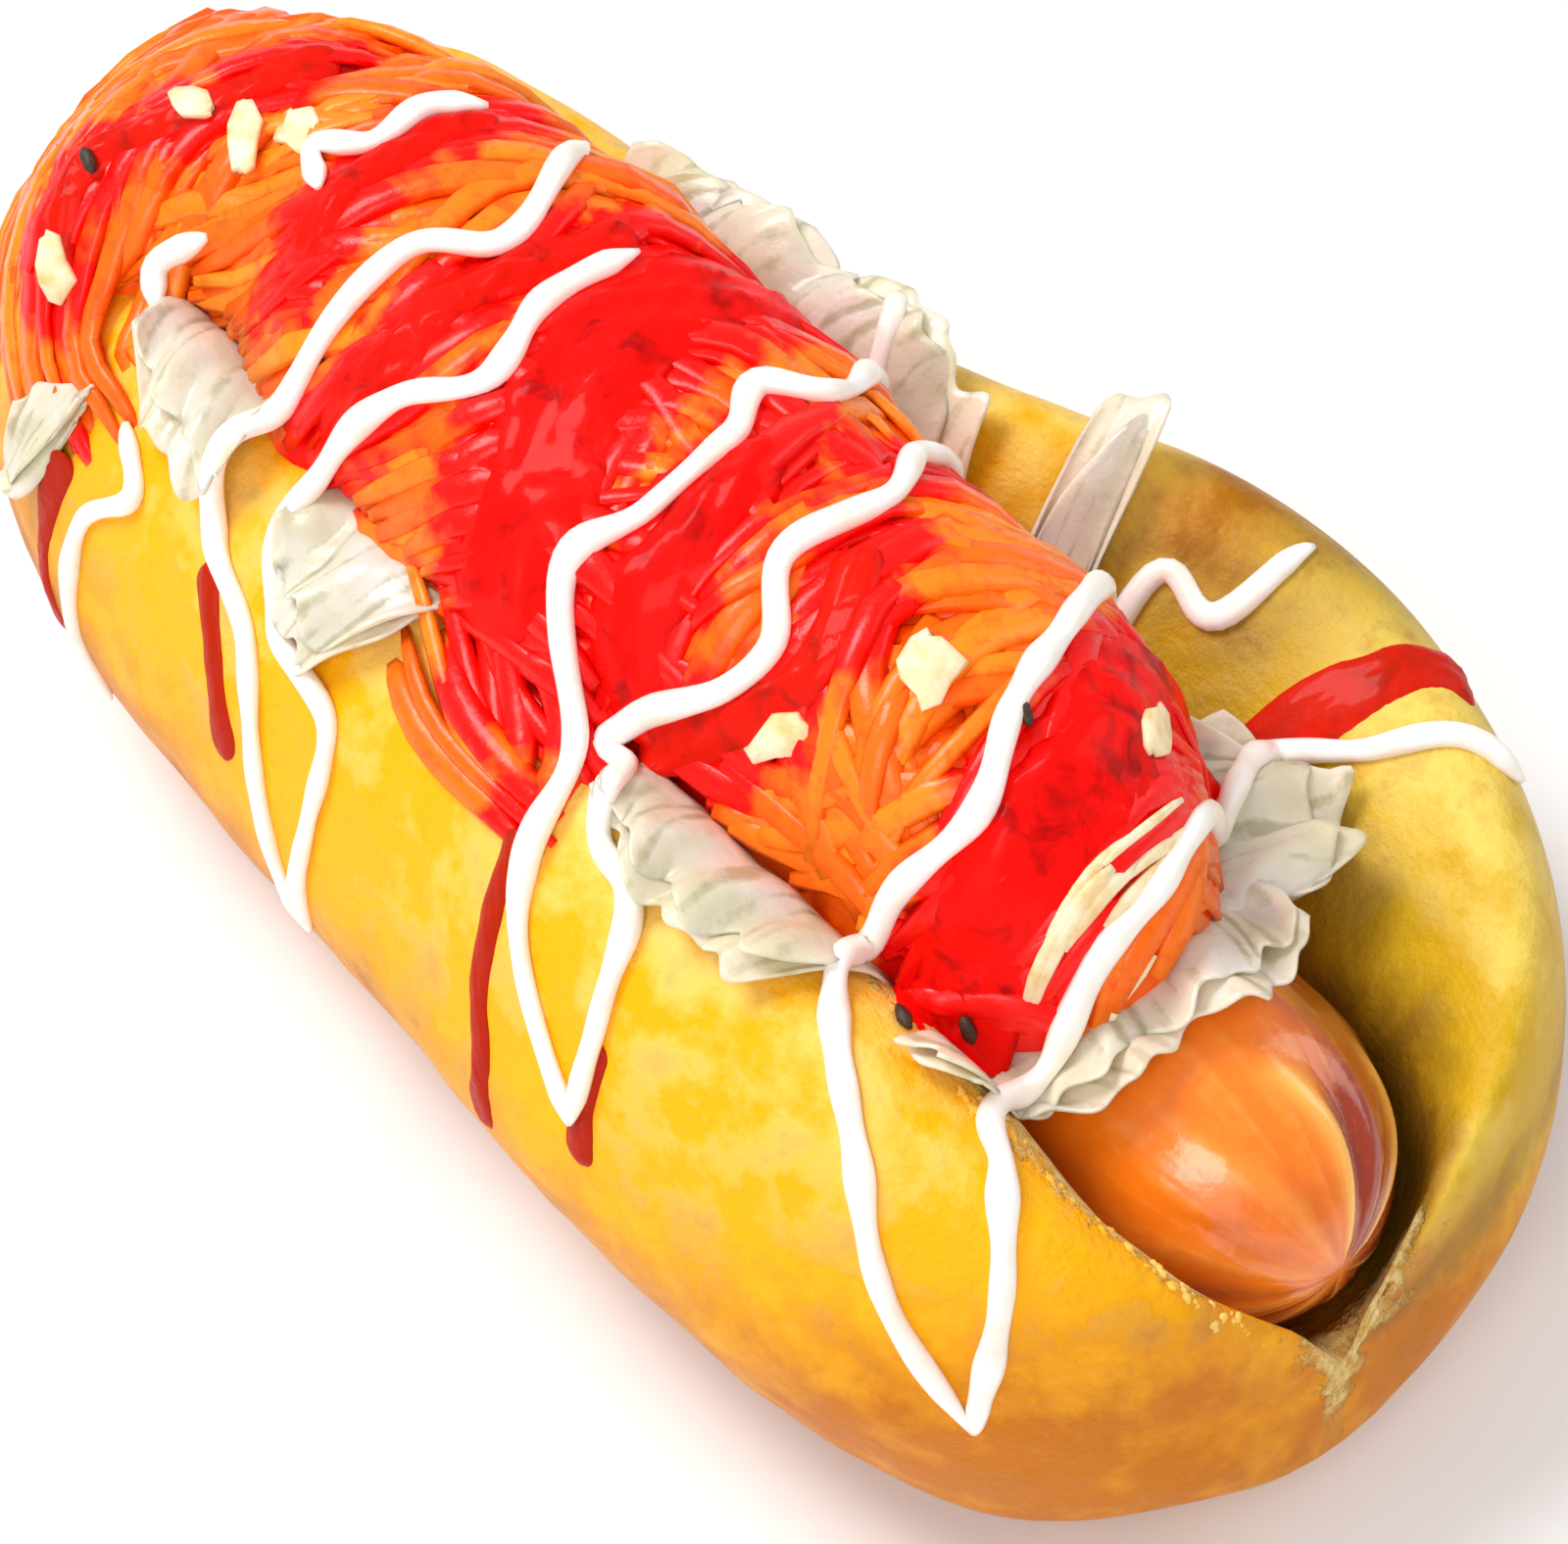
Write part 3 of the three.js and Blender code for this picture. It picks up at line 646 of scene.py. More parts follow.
def cabbage_material(settings):
    r = Recipe("cabbage")
    grain = r.noise(420, 4, 0.6)
    patch = r.noise(150, 3, 0.5)
    veins = r.math("ADD", r.attribute("vein"), r.span(grain, 0.3, 0.7, -0.35, 0.35))
    colour = r.blend(r.span(patch, 0.35, 0.65), tuple(settings.leaf), tuple(settings.green_leaf))
    colour = r.blend(r.span(veins, 0.35, 0.9, 0, 0.75), colour, tuple(settings.vein))
    bump = r.bump(grain, 0.0004, 0.5)
    bump = r.bump(r.noise(1300, 3, 0.6), 0.0001, 0.4, bump)
    return r.finish(
        Base_Color=colour,
        Roughness=r.span(patch, 0.3, 0.7, 0.28, 0.42),
        Normal=bump,
        Specular_IOR_Level=0.35,
        Subsurface_Weight=0.4,
        Subsurface_Radius=(0.003, 0.003, 0.0018),
        Subsurface_Scale=1.0,
        Coat_Weight=0.3,
        Coat_Roughness=0.15,
    )


def scrap_material():
    r = Recipe("scrap")
    grain = r.noise(420)
    colour = r.blend(r.span(grain, 0.4, 0.7), linear(255, 238, 200), linear(240, 196, 128))
    bump = r.bump(grain, 0.0003)
    return r.finish(Base_Color=colour, Roughness=0.4, Normal=bump, Specular_IOR_Level=0.3)


def speck_material():
    r = Recipe("speck")
    grain = r.noise(1500)
    colour = r.blend(grain, linear(30, 18, 12), linear(80, 46, 24))
    return r.finish(Base_Color=colour, Roughness=0.5, Normal=r.bump(grain, 0.0002))


def floor_material(settings):
    r = Recipe("floor")
    faint = r.span(r.noise(3), 0.3, 0.7, 0, 0.03)
    colour = r.blend(faint, tuple(settings.floor), linear(225, 225, 225))
    return r.finish(Base_Color=colour, Roughness=0.7)


def ketchup_material(settings):
    r = Recipe("ketchup")
    cloud = r.noise(260, 3, 0.6, distortion=0.6)
    pulp = r.noise(1200, 3, 0.6)
    deep = r.span(cloud, 0.5, 0.68)
    colour = r.blend(deep, tuple(settings.ketchup), tuple(settings.deep_ketchup))
    colour = r.blend(r.attribute("thin"), colour, tuple(settings.thin_ketchup))
    bump = r.bump(cloud, 0.0008, 0.35)
    bump = r.bump(pulp, 0.0001, 0.4, bump)
    return r.finish(
        Base_Color=colour,
        Roughness=r.span(pulp, 0.3, 0.7, 0.36, 0.5),
        Normal=bump,
        Specular_IOR_Level=0.05,
        Coat_Weight=0.08,
        Coat_Roughness=0.05,
    )


def mayonnaise_material(settings):
    r = Recipe("mayonnaise")
    cloud = r.noise(300, 3, 0.5)
    colour = r.blend(
        r.span(cloud, 0.4, 0.75), tuple(settings.mayonnaise), tuple(settings.deep_mayonnaise)
    )
    return r.finish(
        Base_Color=colour,
        Roughness=r.span(cloud, 0.3, 0.7, 0.28, 0.4),
        Normal=r.bump(r.noise(700, 3, 0.5), 0.0002, 0.4),
        Subsurface_Weight=0.15,
        Subsurface_Radius=(0.002, 0.0016, 0.0012),
        Subsurface_Scale=1.0,
        Coat_Weight=0.3,
        Coat_Roughness=0.2,
    )


# Where things lie, as (x, lean) points

# The edge under the heap and the free edge, how far that lifts, its waves' height and
# number, and how far its corners are cut
Leaf = namedtuple("Leaf", "inner outer lift ruffle waves corner", defaults=[0.35])
LEAVES = [
    Leaf([(-47, -28), (-40.5, -25.5)], [(-50.5, -35), (-42.5, -32.5)], 1, 0.5, 1.5, 0.6),
    Leaf([(-41, -16), (-26, -13)], [(-36, -23), (-20, -25)], 1.5, 0.8, 3),
    Leaf([(-17, -19), (-1, -18)], [(-15, -25), (-5, -27)], 0.8, 0.6, 2),
    Leaf([(19, -17), (42, -13)], [(21, -21), (40, -22)], 1, 0.8, 3.5),
    Leaf([(50, -16), (48, 13)], [(57, -15), (59, 12)], 1.5, 1, 3),
    Leaf([(32, 16), (50, 11)], [(37, 25), (53, 21)], 2.5, 0.8, 2.5),
    Leaf([(16, 16), (21.5, 16)], [(8.5, 25), (15.5, 27)], 3.5, 0.4, 1, 0.5),
    Leaf([(-36, 13), (6, 15)], [(-31, 19), (9, 21)], 3, 0.8, 3),
]

MAYO_LINES = [
    [(-32, 3), (-34, 0), (-33, -4), (-37, -6), (-32, -8)],
    [(-40, -13), (-43, -16), (-40, -18)],
    [(-25, 6), (-18, -3), (-22, -7), (-23, -16), (-24, -21), (-22, -25), (-15, -28), (-10, -35),
     (-4, -43)],
    [(-4, -43), (-3, -34), (-4, -28), (-12, -26), (-16, -22), (-16, -18), (-13, -13), (-8, -9),
     (-11, -4), (-11, 2)],
    [(-12, 24), (-6, 19), (8, 4), (5, 1), (8, -2), (9, -8), (8, -13), (16, -19), (18, -25),
     (20, -28), (27, -33), (31, -35)],
    [(31, -35), (30, -29), (27, -22), (22, -21), (19, -17), (16, -17), (17, -15), (22, -11),
     (23, -8), (19, -5), (19, 2), (14, 7), (11, 13)],
    [(28, 31), (27, 26), (21, 25), (34, 5), (38, -1), (42, -6), (40, -12), (41, -16), (52, -23),
     (58, -28), (65, -31)],
    [(65, -31), (64, -22), (59, -17), (55, -15), (52, -6), (51, 1), (45, 11), (38, 24),
     (44, 27), (48, 30), (52, 33)],
    [(-36, -24), (-32, -27), (-37, -31), (-37, -39), (-36, -44)],
]

KETCHUP_BANDS = [  # half width, how thin it lies, points
    (5.2, 0, [(-7, 14), (-6, 4), (-3, -6), (1, -12), (7, -17)]),
    (2.4, 0.2, [(-13, 3), (-16, -6), (-16, -12), (-18, -17)]),
    (3.2, 0, [(10, -1), (13, -8), (14, -12), (17, -15)]),
    (2.2, 0.2, [(15, 4), (17, 10), (16, 16)]),
    (1.8, 0.4, [(18, -16), (23, -12), (26, -8), (22, -1)]),
    (4.2, 0, [(37, 18), (38, 10), (44, 0), (46, -8), (46, -15)]),
    (1.8, 0.4, [(-46, 0), (-49, -9), (-53, -15), (-49, -22)]),
    (2.2, 0.2, [(-31, 3), (-31, -6), (-29, -11)]),
    (1.1, 1, [(16, -24), (17, -28.7), (18, -32.3), (20.3, -36.9), (20.5, -42)]),
    (1.1, 1, [(30.5, -29.4), (31, -32.7), (32, -37)]),
    (1.2, 1, [(-22, -26.5), (-20, -28.5), (-18, -30.5), (-14.5, -36)]),
    (2.4, 0.7, [(36, 22), (37, 26), (39, 28), (41, 31), (43, 35)]),
    (1.1, 1, [(-41, -28.5), (-42.5, -33), (-43, -37.5), (-42, -41.5)]),
]

CASING_FOLDS = [  # degrees around from +Y, share of the depth
    (58, 1),
    (10, 0.9),
    (98, 0.25),
    (140, 0.2),
    (178, 0.35),
    (214, 0.5),
    (262, 0.7),
    (318, 0.7),
]

# Names of the pieces that others lie on
BREAD = ["bun_crust", "sausage_casing"]
SALAD = ["salad_core", "carrot_shreds"]
CABBAGE = [f"cabbage_leaf_{number}" for number in range(1, len(LEAVES) + 1)]

# Bundles of shreds that show on top of the heap
STRAND_SWEEPS = [
    [(-49, -22), (-52, -18), (-54.5, -14), (-58, -8), (-56, -3), (-51, -1)],
    [(-46, -21), (-48, -16.5), (-50, -12), (-50.5, -6.5), (-47, -3)],
    [(-42, -15), (-37, -11), (-31, -8), (-29, -5), (-27, -1)],
    [(-37, -16), (-30, -13), (-27, -9), (-24, -6)],
    [(-16.5, -17.7), (-12, -14), (-8, -11), (-5, -9.6)],
    [(-15, -20), (-11, -18), (-5, -15), (-1, -13.6)],
    [(-2.6, -19), (0, -17), (4.4, -15.6), (9.4, -15.6)],
    [(-9.5, -4.6), (-8.5, 0), (-7, 4.3), (-8, 10)],
    [(1.7, -4.2), (6, -2.8), (10.8, -2.8)],
    [(-3.3, 0.3), (0.3, 2.8), (7.2, 3.5)],
    [(18, -16), (29, -14), (35, -11), (38, -6)],
    [(27, -14), (34, -13), (39, -13)],
    [(25, -2), (28, -6), (32, -8), (36, -9)],
    [(24, 1), (26, 4), (29, 11)],
    [(20, 3), (23, 5), (30, 6)],
    [(0, -20), (8, -22), (15, -23)],
    [(-8, -20), (-3, -16), (2, -13)],
    [(-15, -20), (-9, -14), (-5, -11)],
    [(-15, -17), (-12, -12), (-11, -6)],
    [(-52, -15), (-54, -8), (-53, -3), (-47, 2)],
    [(-48, -25), (-51, -19), (-52, -14)],
    [(-37, -20), (-32, -14), (-25, -11)],
    [(-30, -9), (-27, -3), (-23, 3)],
    [(-22, -8), (-23, -1), (-20, 3)],
    [(-9, -1), (-8, 4), (-1, 6)],
    [(13, -8), (12, -4), (10, 2)],
    [(48, -3), (47, 5)],
    [(49, -15), (51, -7), (52, 2)],
    [(21, -7), (21, -2), (22, 2)],
    [(39, -9), (38, -4), (36, 2)],
    [(-64, -19), (-65.5, -9), (-65.5, 3), (-64, 13)],
    [(-67, -16), (-68, -7), (-68, 3), (-67, 12)],
    [(-69.2, -12), (-69.4, -2), (-69.2, 8)],
    [(-61, 4), (-60, 11), (-57, 17)],
    [(-52, 6), (-48, 12), (-43, 17)],
    [(-40, 5), (-36, 11), (-30, 15)],
]

# Bundles that hang over the bun beside the heap
DRAPED_SWEEPS = [
    [(-58, -8), (-57, -15), (-54, -22), (-50, -27)],
    [(-54, -10), (-52, -17), (-48, -24), (-44, -26)],
    [(-50, -12), (-47, -18), (-43, -23), (-39, -24)],
    [(-62, -6), (-62, -12), (-60, -19), (-56, -25)],
    [(1, -20), (5, -21), (10, -21.5), (15, -21.8)],
    [(-2, -16.5), (4, -18.5), (11, -20.2), (16, -20.5)],
    [(2, -15), (8, -17.5), (13, -20), (15, -23)],
]

# Pale scraps and shreds, the torn edge at the near left, and dark specks
CREAM_BITS = [
    (-49, -8.6), (-40, -5.7), (-43, -8), (-49.5, -20.7), (32.6, -3.4), (27, -10.4), (42.4, 6.3),
]
CREAM_SHREDS = [
    [(50.5, -9), (50, -5), (49.8, -2)],
    [(49.3, -7), (48.6, -3), (48.2, 0)],
    [(50.3, -3), (49.5, 1), (48.8, 4)],
    [(48.4, -1), (47.6, 3), (46.6, 6)],
    [(51.3, -6), (51, -3), (50.6, 0)],
]
RIM_LINE = [
    (53, -15), (58, -14.5), (62, -14), (66, -13), (69, -12), (71.5, -10.5), (73.2, -8),
]
DARK_SPECKS = [(-52, -15), (39, -1), (46, -15), (48, -12)]


def sauce_cover(x, lean):
    """1 under the bands of ketchup, fading out beside them."""
    cover = np.zeros(np.shape(x))
    for half_width, _, line in KETCHUP_BANDS:
        path = even_line(line, 1.5)
        for px, plean in path:
            gap = np.hypot(x - px, (lean - plean) * SAUCE_DEGREE) - half_width
            cover = np.maximum(cover, 1 - smoothstep(gap, -1, 5))
    return cover


# Settings


def colour_property(name, description, red, green, blue):
    return FloatVectorProperty(
        name=name,
        description=description,
        default=linear(red, green, blue),
        size=3,
        min=0,
        max=1,
        subtype="COLOR",
    )


def length_property(name, description, default):
    return FloatProperty(
        name=name, description=description, default=default * METRES, min=0, unit="LENGTH"
    )


class BunSettings(bpy.types.PropertyGroup):
    crust: colour_property("Crust", "Golden crust", 252, 176, 8)
    # The paler crust also carries a painted highlight over the top
    pale_crust: colour_property("Pale crust", "Paler patches of the crust", 252, 214, 116)
    # A shaded copy of the crust: painted shade on the folded-open side's inner face
    shaded_crust: colour_property("Inner crust", "Crust of the folded-open side", 206, 164, 24)
    # Also a painted highlight along the ridge of the folded-open side
    pale_lobe: colour_property("Pale inner crust", "Its paler patches", 236, 206, 96)
    # Browning, partly painted shade on the underside, the ends and the folded-open side's far top
    browned_and_shaded_crust: colour_property("Browned crust", "Crust near the oven floor", 200, 114, 0)
    # Painted shade in the fold by the sausage and along the folded-open side
    painted_shade_crust: colour_property("Deep crust", "Crust in the fold by the sausage", 134, 94, 18)
    crumb: colour_property("Crumb", "Torn crumb", 255, 224, 150)
    # Painted shade in the crumb's pores
    crumb_pore_shade: colour_property("Crumb pores", "Deep pores of the crumb", 214, 150, 48)
    unevenness: length_property("Unevenness", "Height of the crust's gentle swells", 0.45)


class SausageSettings(bpy.types.PropertyGroup):
    casing: colour_property("Casing", "Top of the sausage", 255, 128, 12)
    # The creases are a painted highlight along the ridges of the folds
    pale_casing: colour_property("Pale casing", "Streaks and creases", 255, 186, 84)
    deep_casing: colour_property("Deep casing", "Shaded side and tip", 160, 48, 10)
    fold_depth: FloatProperty(
        name="Fold depth",
        description="Depth of the folds at the twist, as a share of the radius",
        default=0.15,
        min=0,
        max=0.3,
        subtype="FACTOR",
    )


class SaladSettings(bpy.types.PropertyGroup):
    carrot: colour_property("Carrot", "Shreds of carrot", 255, 96, 6)
    pale_carrot: colour_property("Pale carrot", "Lighter shreds", 255, 142, 28)
    deep_carrot: colour_property("Deep carrot", "Darker fibres", 236, 62, 6)
    strand_half_width: length_property("Strand half width", "Of one shred", 1.2)
    bundles: IntProperty(name="Bundles", description="Groups of shreds", default=150, min=1)
    seed: IntProperty(name="Seed", description="Start of the random draws", default=5)


class CabbageSettings(bpy.types.PropertyGroup):
    leaf: colour_property("Leaf", "White part of the leaf", 244, 235, 212)
    green_leaf: colour_property("Green leaf", "Greener patches", 220, 211, 172)
    vein: colour_property("Vein", "Veins and folds", 164, 158, 118)
    thickness: length_property("Thickness", "Of the leaf", 0.28)


class SauceSettings(bpy.types.PropertyGroup):
    ketchup: colour_property("Ketchup", "Bright ketchup", 252, 12, 6)
    deep_ketchup: colour_property("Deep ketchup", "Darker ketchup", 176, 8, 6)
    thin_ketchup: colour_property("Thin ketchup", "Drips that the crust shows through", 176, 36, 10)
    mayonnaise: colour_property("Mayonnaise", "Mayonnaise", 255, 250, 244)
    deep_mayonnaise: colour_property("Deep mayonnaise", "Its warmer patches", 250, 232, 214)
    ketchup_thickness: length_property("Ketchup thickness", "Of the bands", 1.15)
    mayonnaise_half_width: length_property("Mayonnaise half width", "Of the line", 1.05)


class StageSettings(bpy.types.PropertyGroup):
    floor: colour_property("Floor", "Pale floor", 246, 246, 246)
    focal_length: FloatProperty(
        name="Focal length", description="Of the camera, in mm", default=126.6, min=1
    )
    key_power: FloatProperty(
        name="Key light", description="Power of the main light", default=3.8, min=0, unit="POWER"
    )


class HotDogSettings(bpy.types.PropertyGroup):
    bun: PointerProperty(type=BunSettings)
    sausage: PointerProperty(type=SausageSettings)
    salad: PointerProperty(type=SaladSettings)
    cabbage: PointerProperty(type=CabbageSettings)
    sauce: PointerProperty(type=SauceSettings)
    stage: PointerProperty(type=StageSettings)


# Pieces


def relaxed(points, share, times):
    """Closed rings of points with `share` of their unevenness evened out, over and over."""
    share = share[..., None]
    for _ in range(times):
        ring = points[:, :-1]
        around = (np.roll(ring, 1, 1) + np.roll(ring, -1, 1)) / 2
        around = np.concatenate([around, around[:, :1]], 1)
        along = points.copy()
        along[1:-1] = (points[:-2] + points[2:]) / 2
        points = lerp(points, 0.5 * around + 0.5 * along, share)
    return points


def swell(points, size, seed):
    """Smooth random numbers, about -1 to 1, at points in millimetres."""
    flat = np.asarray(points, float).reshape(-1, 3) / size + seed
    values = [noise.noise(Vector(p)) for p in flat.tolist()]
    return np.array(values).reshape(np.shape(points)[:-1])


class HOTDOG_OT_bun(bpy.types.Operator):
    """Bake the bun: crust, lips and hollow."""

    bl_idname = "hotdog.bun"
    bl_label = "Bun"

    def execute(self, context):
        settings = context.scene.hot_dog.bun
        points = self.rings()
        span = np.arange(points.shape[1]) / BUN_SPAN_STEPS  # the corner that each column is at
        span = np.tile(span, (len(points), 1))
        x, y, z = np.moveaxis(points, -1, 0)
        outer = smoothstep(z, 1, 8) * (1 - hump(np.abs(x), BUN_HALF_LENGTH, 3))
        rim = hump(span, 6.5, 1.3) * smoothstep(x, 30, 46) * smoothstep(-x, -74, -68)
        push = settings.unevenness / METRES * swell(points, 16, 3) * outer
        push += 0.25 * swell(points, 6, 9) * outer
        push += rim * (1.1 * swell(points, 2.6, 5) + 0.7 * swell(points, 5, 7))
        points = points + outward(points, 0, 24, 1e-6) * push[..., None]
        points = relaxed(points, smoothstep(x, 66, 72) * smoothstep(z, 14, 22), 26)
        points = relaxed(points, smoothstep(-x, 68, 73) * smoothstep(z, 14, 22), 16)
        lobe = smoothstep(span, 13, 14.2) * (1 - smoothstep(span, 17.2, 18.4))
        points = relaxed(points, lobe * smoothstep(x, 10, 30), 40)
        torn = smoothstep(x, 69, 73) * hump(y, 4, 16) * smoothstep(z, 16, 22)
        points[..., 2] += torn * (0.9 * swell(points, 3, 8) + 0.5 * swell(points, 1.7, 2))
        points[:, -1] = points[:, 0]
        piece = grid_piece("bun_crust", points)
        self.brown(piece, x, y, z, span, rim, torn)
        close_up(piece)
        finish_piece(piece, crust_material(settings), "bun", "bun")
        return {"FINISHED"}

    def rings(self):
        """The bun's sections from end to end, closed to a point at both ends."""
        xs = places_along(-BUN_HALF_LENGTH, BUN_HALF_LENGTH, BUN_RINGS, 0.45)
        xs = np.clip(xs, -BUN_HALF_LENGTH + 0.02, BUN_HALF_LENGTH - 0.02)
        rows = []
        for x in xs:
            corners, bottom = bun_section(x)
            outline = smooth_curve(corners, BUN_SPAN_STEPS)
            outline[:, 1] = np.maximum(outline[:, 1], bottom)
            under = np.linspace(outline[-1], outline[0], UNDERSIDE_STEPS + 1)[1:]
            outline = np.vstack([outline, under])
            rows.append(np.column_stack([np.full(len(outline), x), outline]))
        points = np.array(rows)
        pole = np.array([BUN_HALF_LENGTH, 0, POLE_HEIGHT])
        ends = [np.tile(pole * [sign, 1, 1], (points.shape[1], 1)) for sign in (-1, 1)]
        return np.concatenate([ends[0][None], points, ends[1][None]])

    def brown(self, piece, x, y, z, span, rim, torn):
        """Paints the crust's paler patches and painted highlights, its browning and painted shade,
        the folded-open side's painted shade, and the crumb.
        """
        open_ = bun_opening(x)
        # A painted highlight along the ridge of the folded-open side
        right_inside = hump(span, 15, 2.2) * open_
        inside = smoothstep(span, 6.9, 7.5) * (1 - smoothstep(span, 9.3, 10.6))
        flank = smoothstep(span, 17.1, 18.6)  # the outer side, towards +Y
        paint(piece, "crumb", np.clip(rim * 1.1 + inside + 0.8 * torn, 0, 1))
        # Paler patches beside the left rim, and towards the top a painted highlight
        near_rim = hump(span, 5.2, 1.7) * hump(x, 22, 38)
        high = smoothstep(z, 26, 44) * 0.3
        paint(piece, "pale", np.clip(high + 0.5 * near_rim + 0.5 * right_inside, 0, 1))
        # Browner low down, at the near end, at the far left and on the folded-open side's far top:
        # browning, partly painted shade
        low = 1 - smoothstep(z, 8, 33 + 5 * smoothstep(x, 20, 70) + 9 * smoothstep(-x, 5, 40))
        near_end = smoothstep(x, 40, 72) * (1 - smoothstep(z, 24, 46)) * 0.55
        near_end *= 1 - smoothstep(y, 4, 18)
        far_top = hump(x, 22, 12) * smoothstep(y, 26, 31) * smoothstep(z, 34, 40) * (1 - flank)
        low *= 1 - 0.75 * smoothstep(y, 8, 28) * open_ * (1 - flank)
        far_left = 0.3 * smoothstep(-x, 36, 62) * smoothstep(-y, 12, 26)
        paint(piece, "brown", np.clip(0.95 * low + near_end + 0.7 * far_top + far_left, 0, 1))
        # The folded-open side's inner face, darkened: painted shade
        paint(piece, "shaded_lobe", smoothstep(span, 11.5, 13.5) * open_ * (0.95 - 0.8 * flank))
        # Painted shade in the fold by the sausage, along the folded-open side's outer edge and on its
        # far top
        fold = hump(span, 12.2, 2.3 + smoothstep(x, 40, 66)) * smoothstep(x, 20, 50)
        outer_rim = hump(span, 17.2, 1.1) * smoothstep(x, 20, 45) * 0.5
        far_side = hump(x, 27, 19) * smoothstep(y, 20, 25) * hump(z, 39, 12) * 0.75 * (1 - flank)
        paint(piece, "shade", np.clip(open_ * (fold + outer_rim + far_side), 0, 1))


class HOTDOG_OT_sausage(bpy.types.Operator):
    """Make the sausage, with its casing twisted shut at the ends."""

    bl_idname = "hotdog.sausage"
    bl_label = "Sausage"

    def execute(self, context):
        settings = context.scene.hot_dog.sausage
        xs = places_along(SAUSAGE_FAR_END, SAUSAGE_NEAR_END, SAUSAGE_RINGS, 0.35)
        turn = np.linspace(0, 2 * np.pi, SAUSAGE_SIDES + 1)
        radius, fold = [], []
        for x in xs:
            end = SAUSAGE_NEAR_END if x > 0 else SAUSAGE_FAR_END
            radius.append(SAUSAGE_RADIUS * rounded_end(x, end, SAUSAGE_TAPER))
            fold.append(float(smoothstep(abs(x), abs(end) - 13, abs(end) - 2)))
        radius, fold = np.array(radius)[:, None], np.array(fold)[:, None]
        groove, ridge = 0, 0
        for at, strength in CASING_FOLDS:
            gap = np.angle(np.exp(1j * (turn - np.radians(at) - 0.25 * (1 - fold))))
            groove = groove + strength * np.exp(-((gap / 0.13) ** 2))
            ridge = ridge + strength * np.exp(-(((gap - 0.24) / 0.1) ** 2))
        radius = radius * (1 - settings.fold_depth * fold * (groove - 0.45 * ridge))
        x = np.repeat(xs[:, None], SAUSAGE_SIDES + 1, 1)
        y = sausage_centre(x) + radius * np.cos(turn)
        z = SAUSAGE_HEIGHT + radius * np.sin(turn)
        points = np.stack([x, y, z], -1)
        out = np.stack([0 * x, np.cos(turn) + 0 * x, np.sin(turn) + 0 * x], -1)
        points += out * (0.18 * swell(points, 9, 2) * np.minimum(radius / 8, 1))[..., None]
        points[:, -1] = points[:, 0]
        piece = grid_piece("sausage_casing", points)
        # Painted shade under the sausage, on its +Y side and in the grooves of the folds; a little
        # darker towards the tip
        tip = smoothstep(x, 60, 71)
        under = smoothstep(-np.sin(turn + 0 * x), 0.4, 1)
        right = smoothstep(np.cos(turn + 0 * x), 0.25, 0.65)
        dark = 0.25 * under + 0.8 * right + 0.15 * tip + 0.7 * np.clip(groove, 0, 1) * fold
        paint(piece, "deep", np.clip(dark, 0, 1))
        # A painted highlight along the ridges of the folds at the twist
        paint(piece, "ridge_highlight", np.clip(ridge * smoothstep(fold, 0, 0.35), 0, 1))
        streak = ripple(turn * 7 + 0 * x, x * 0.03, 2)
        streak += 0.7 * ripple(turn * 15 + 0 * x, x * 0.06, 5)
        paint(piece, "streak", np.clip(0.45 + 0.5 * streak, 0, 1))
        close_up(piece)
        finish_piece(piece, casing_material(settings), "sausage", "sausage")
        return {"FINISHED"}


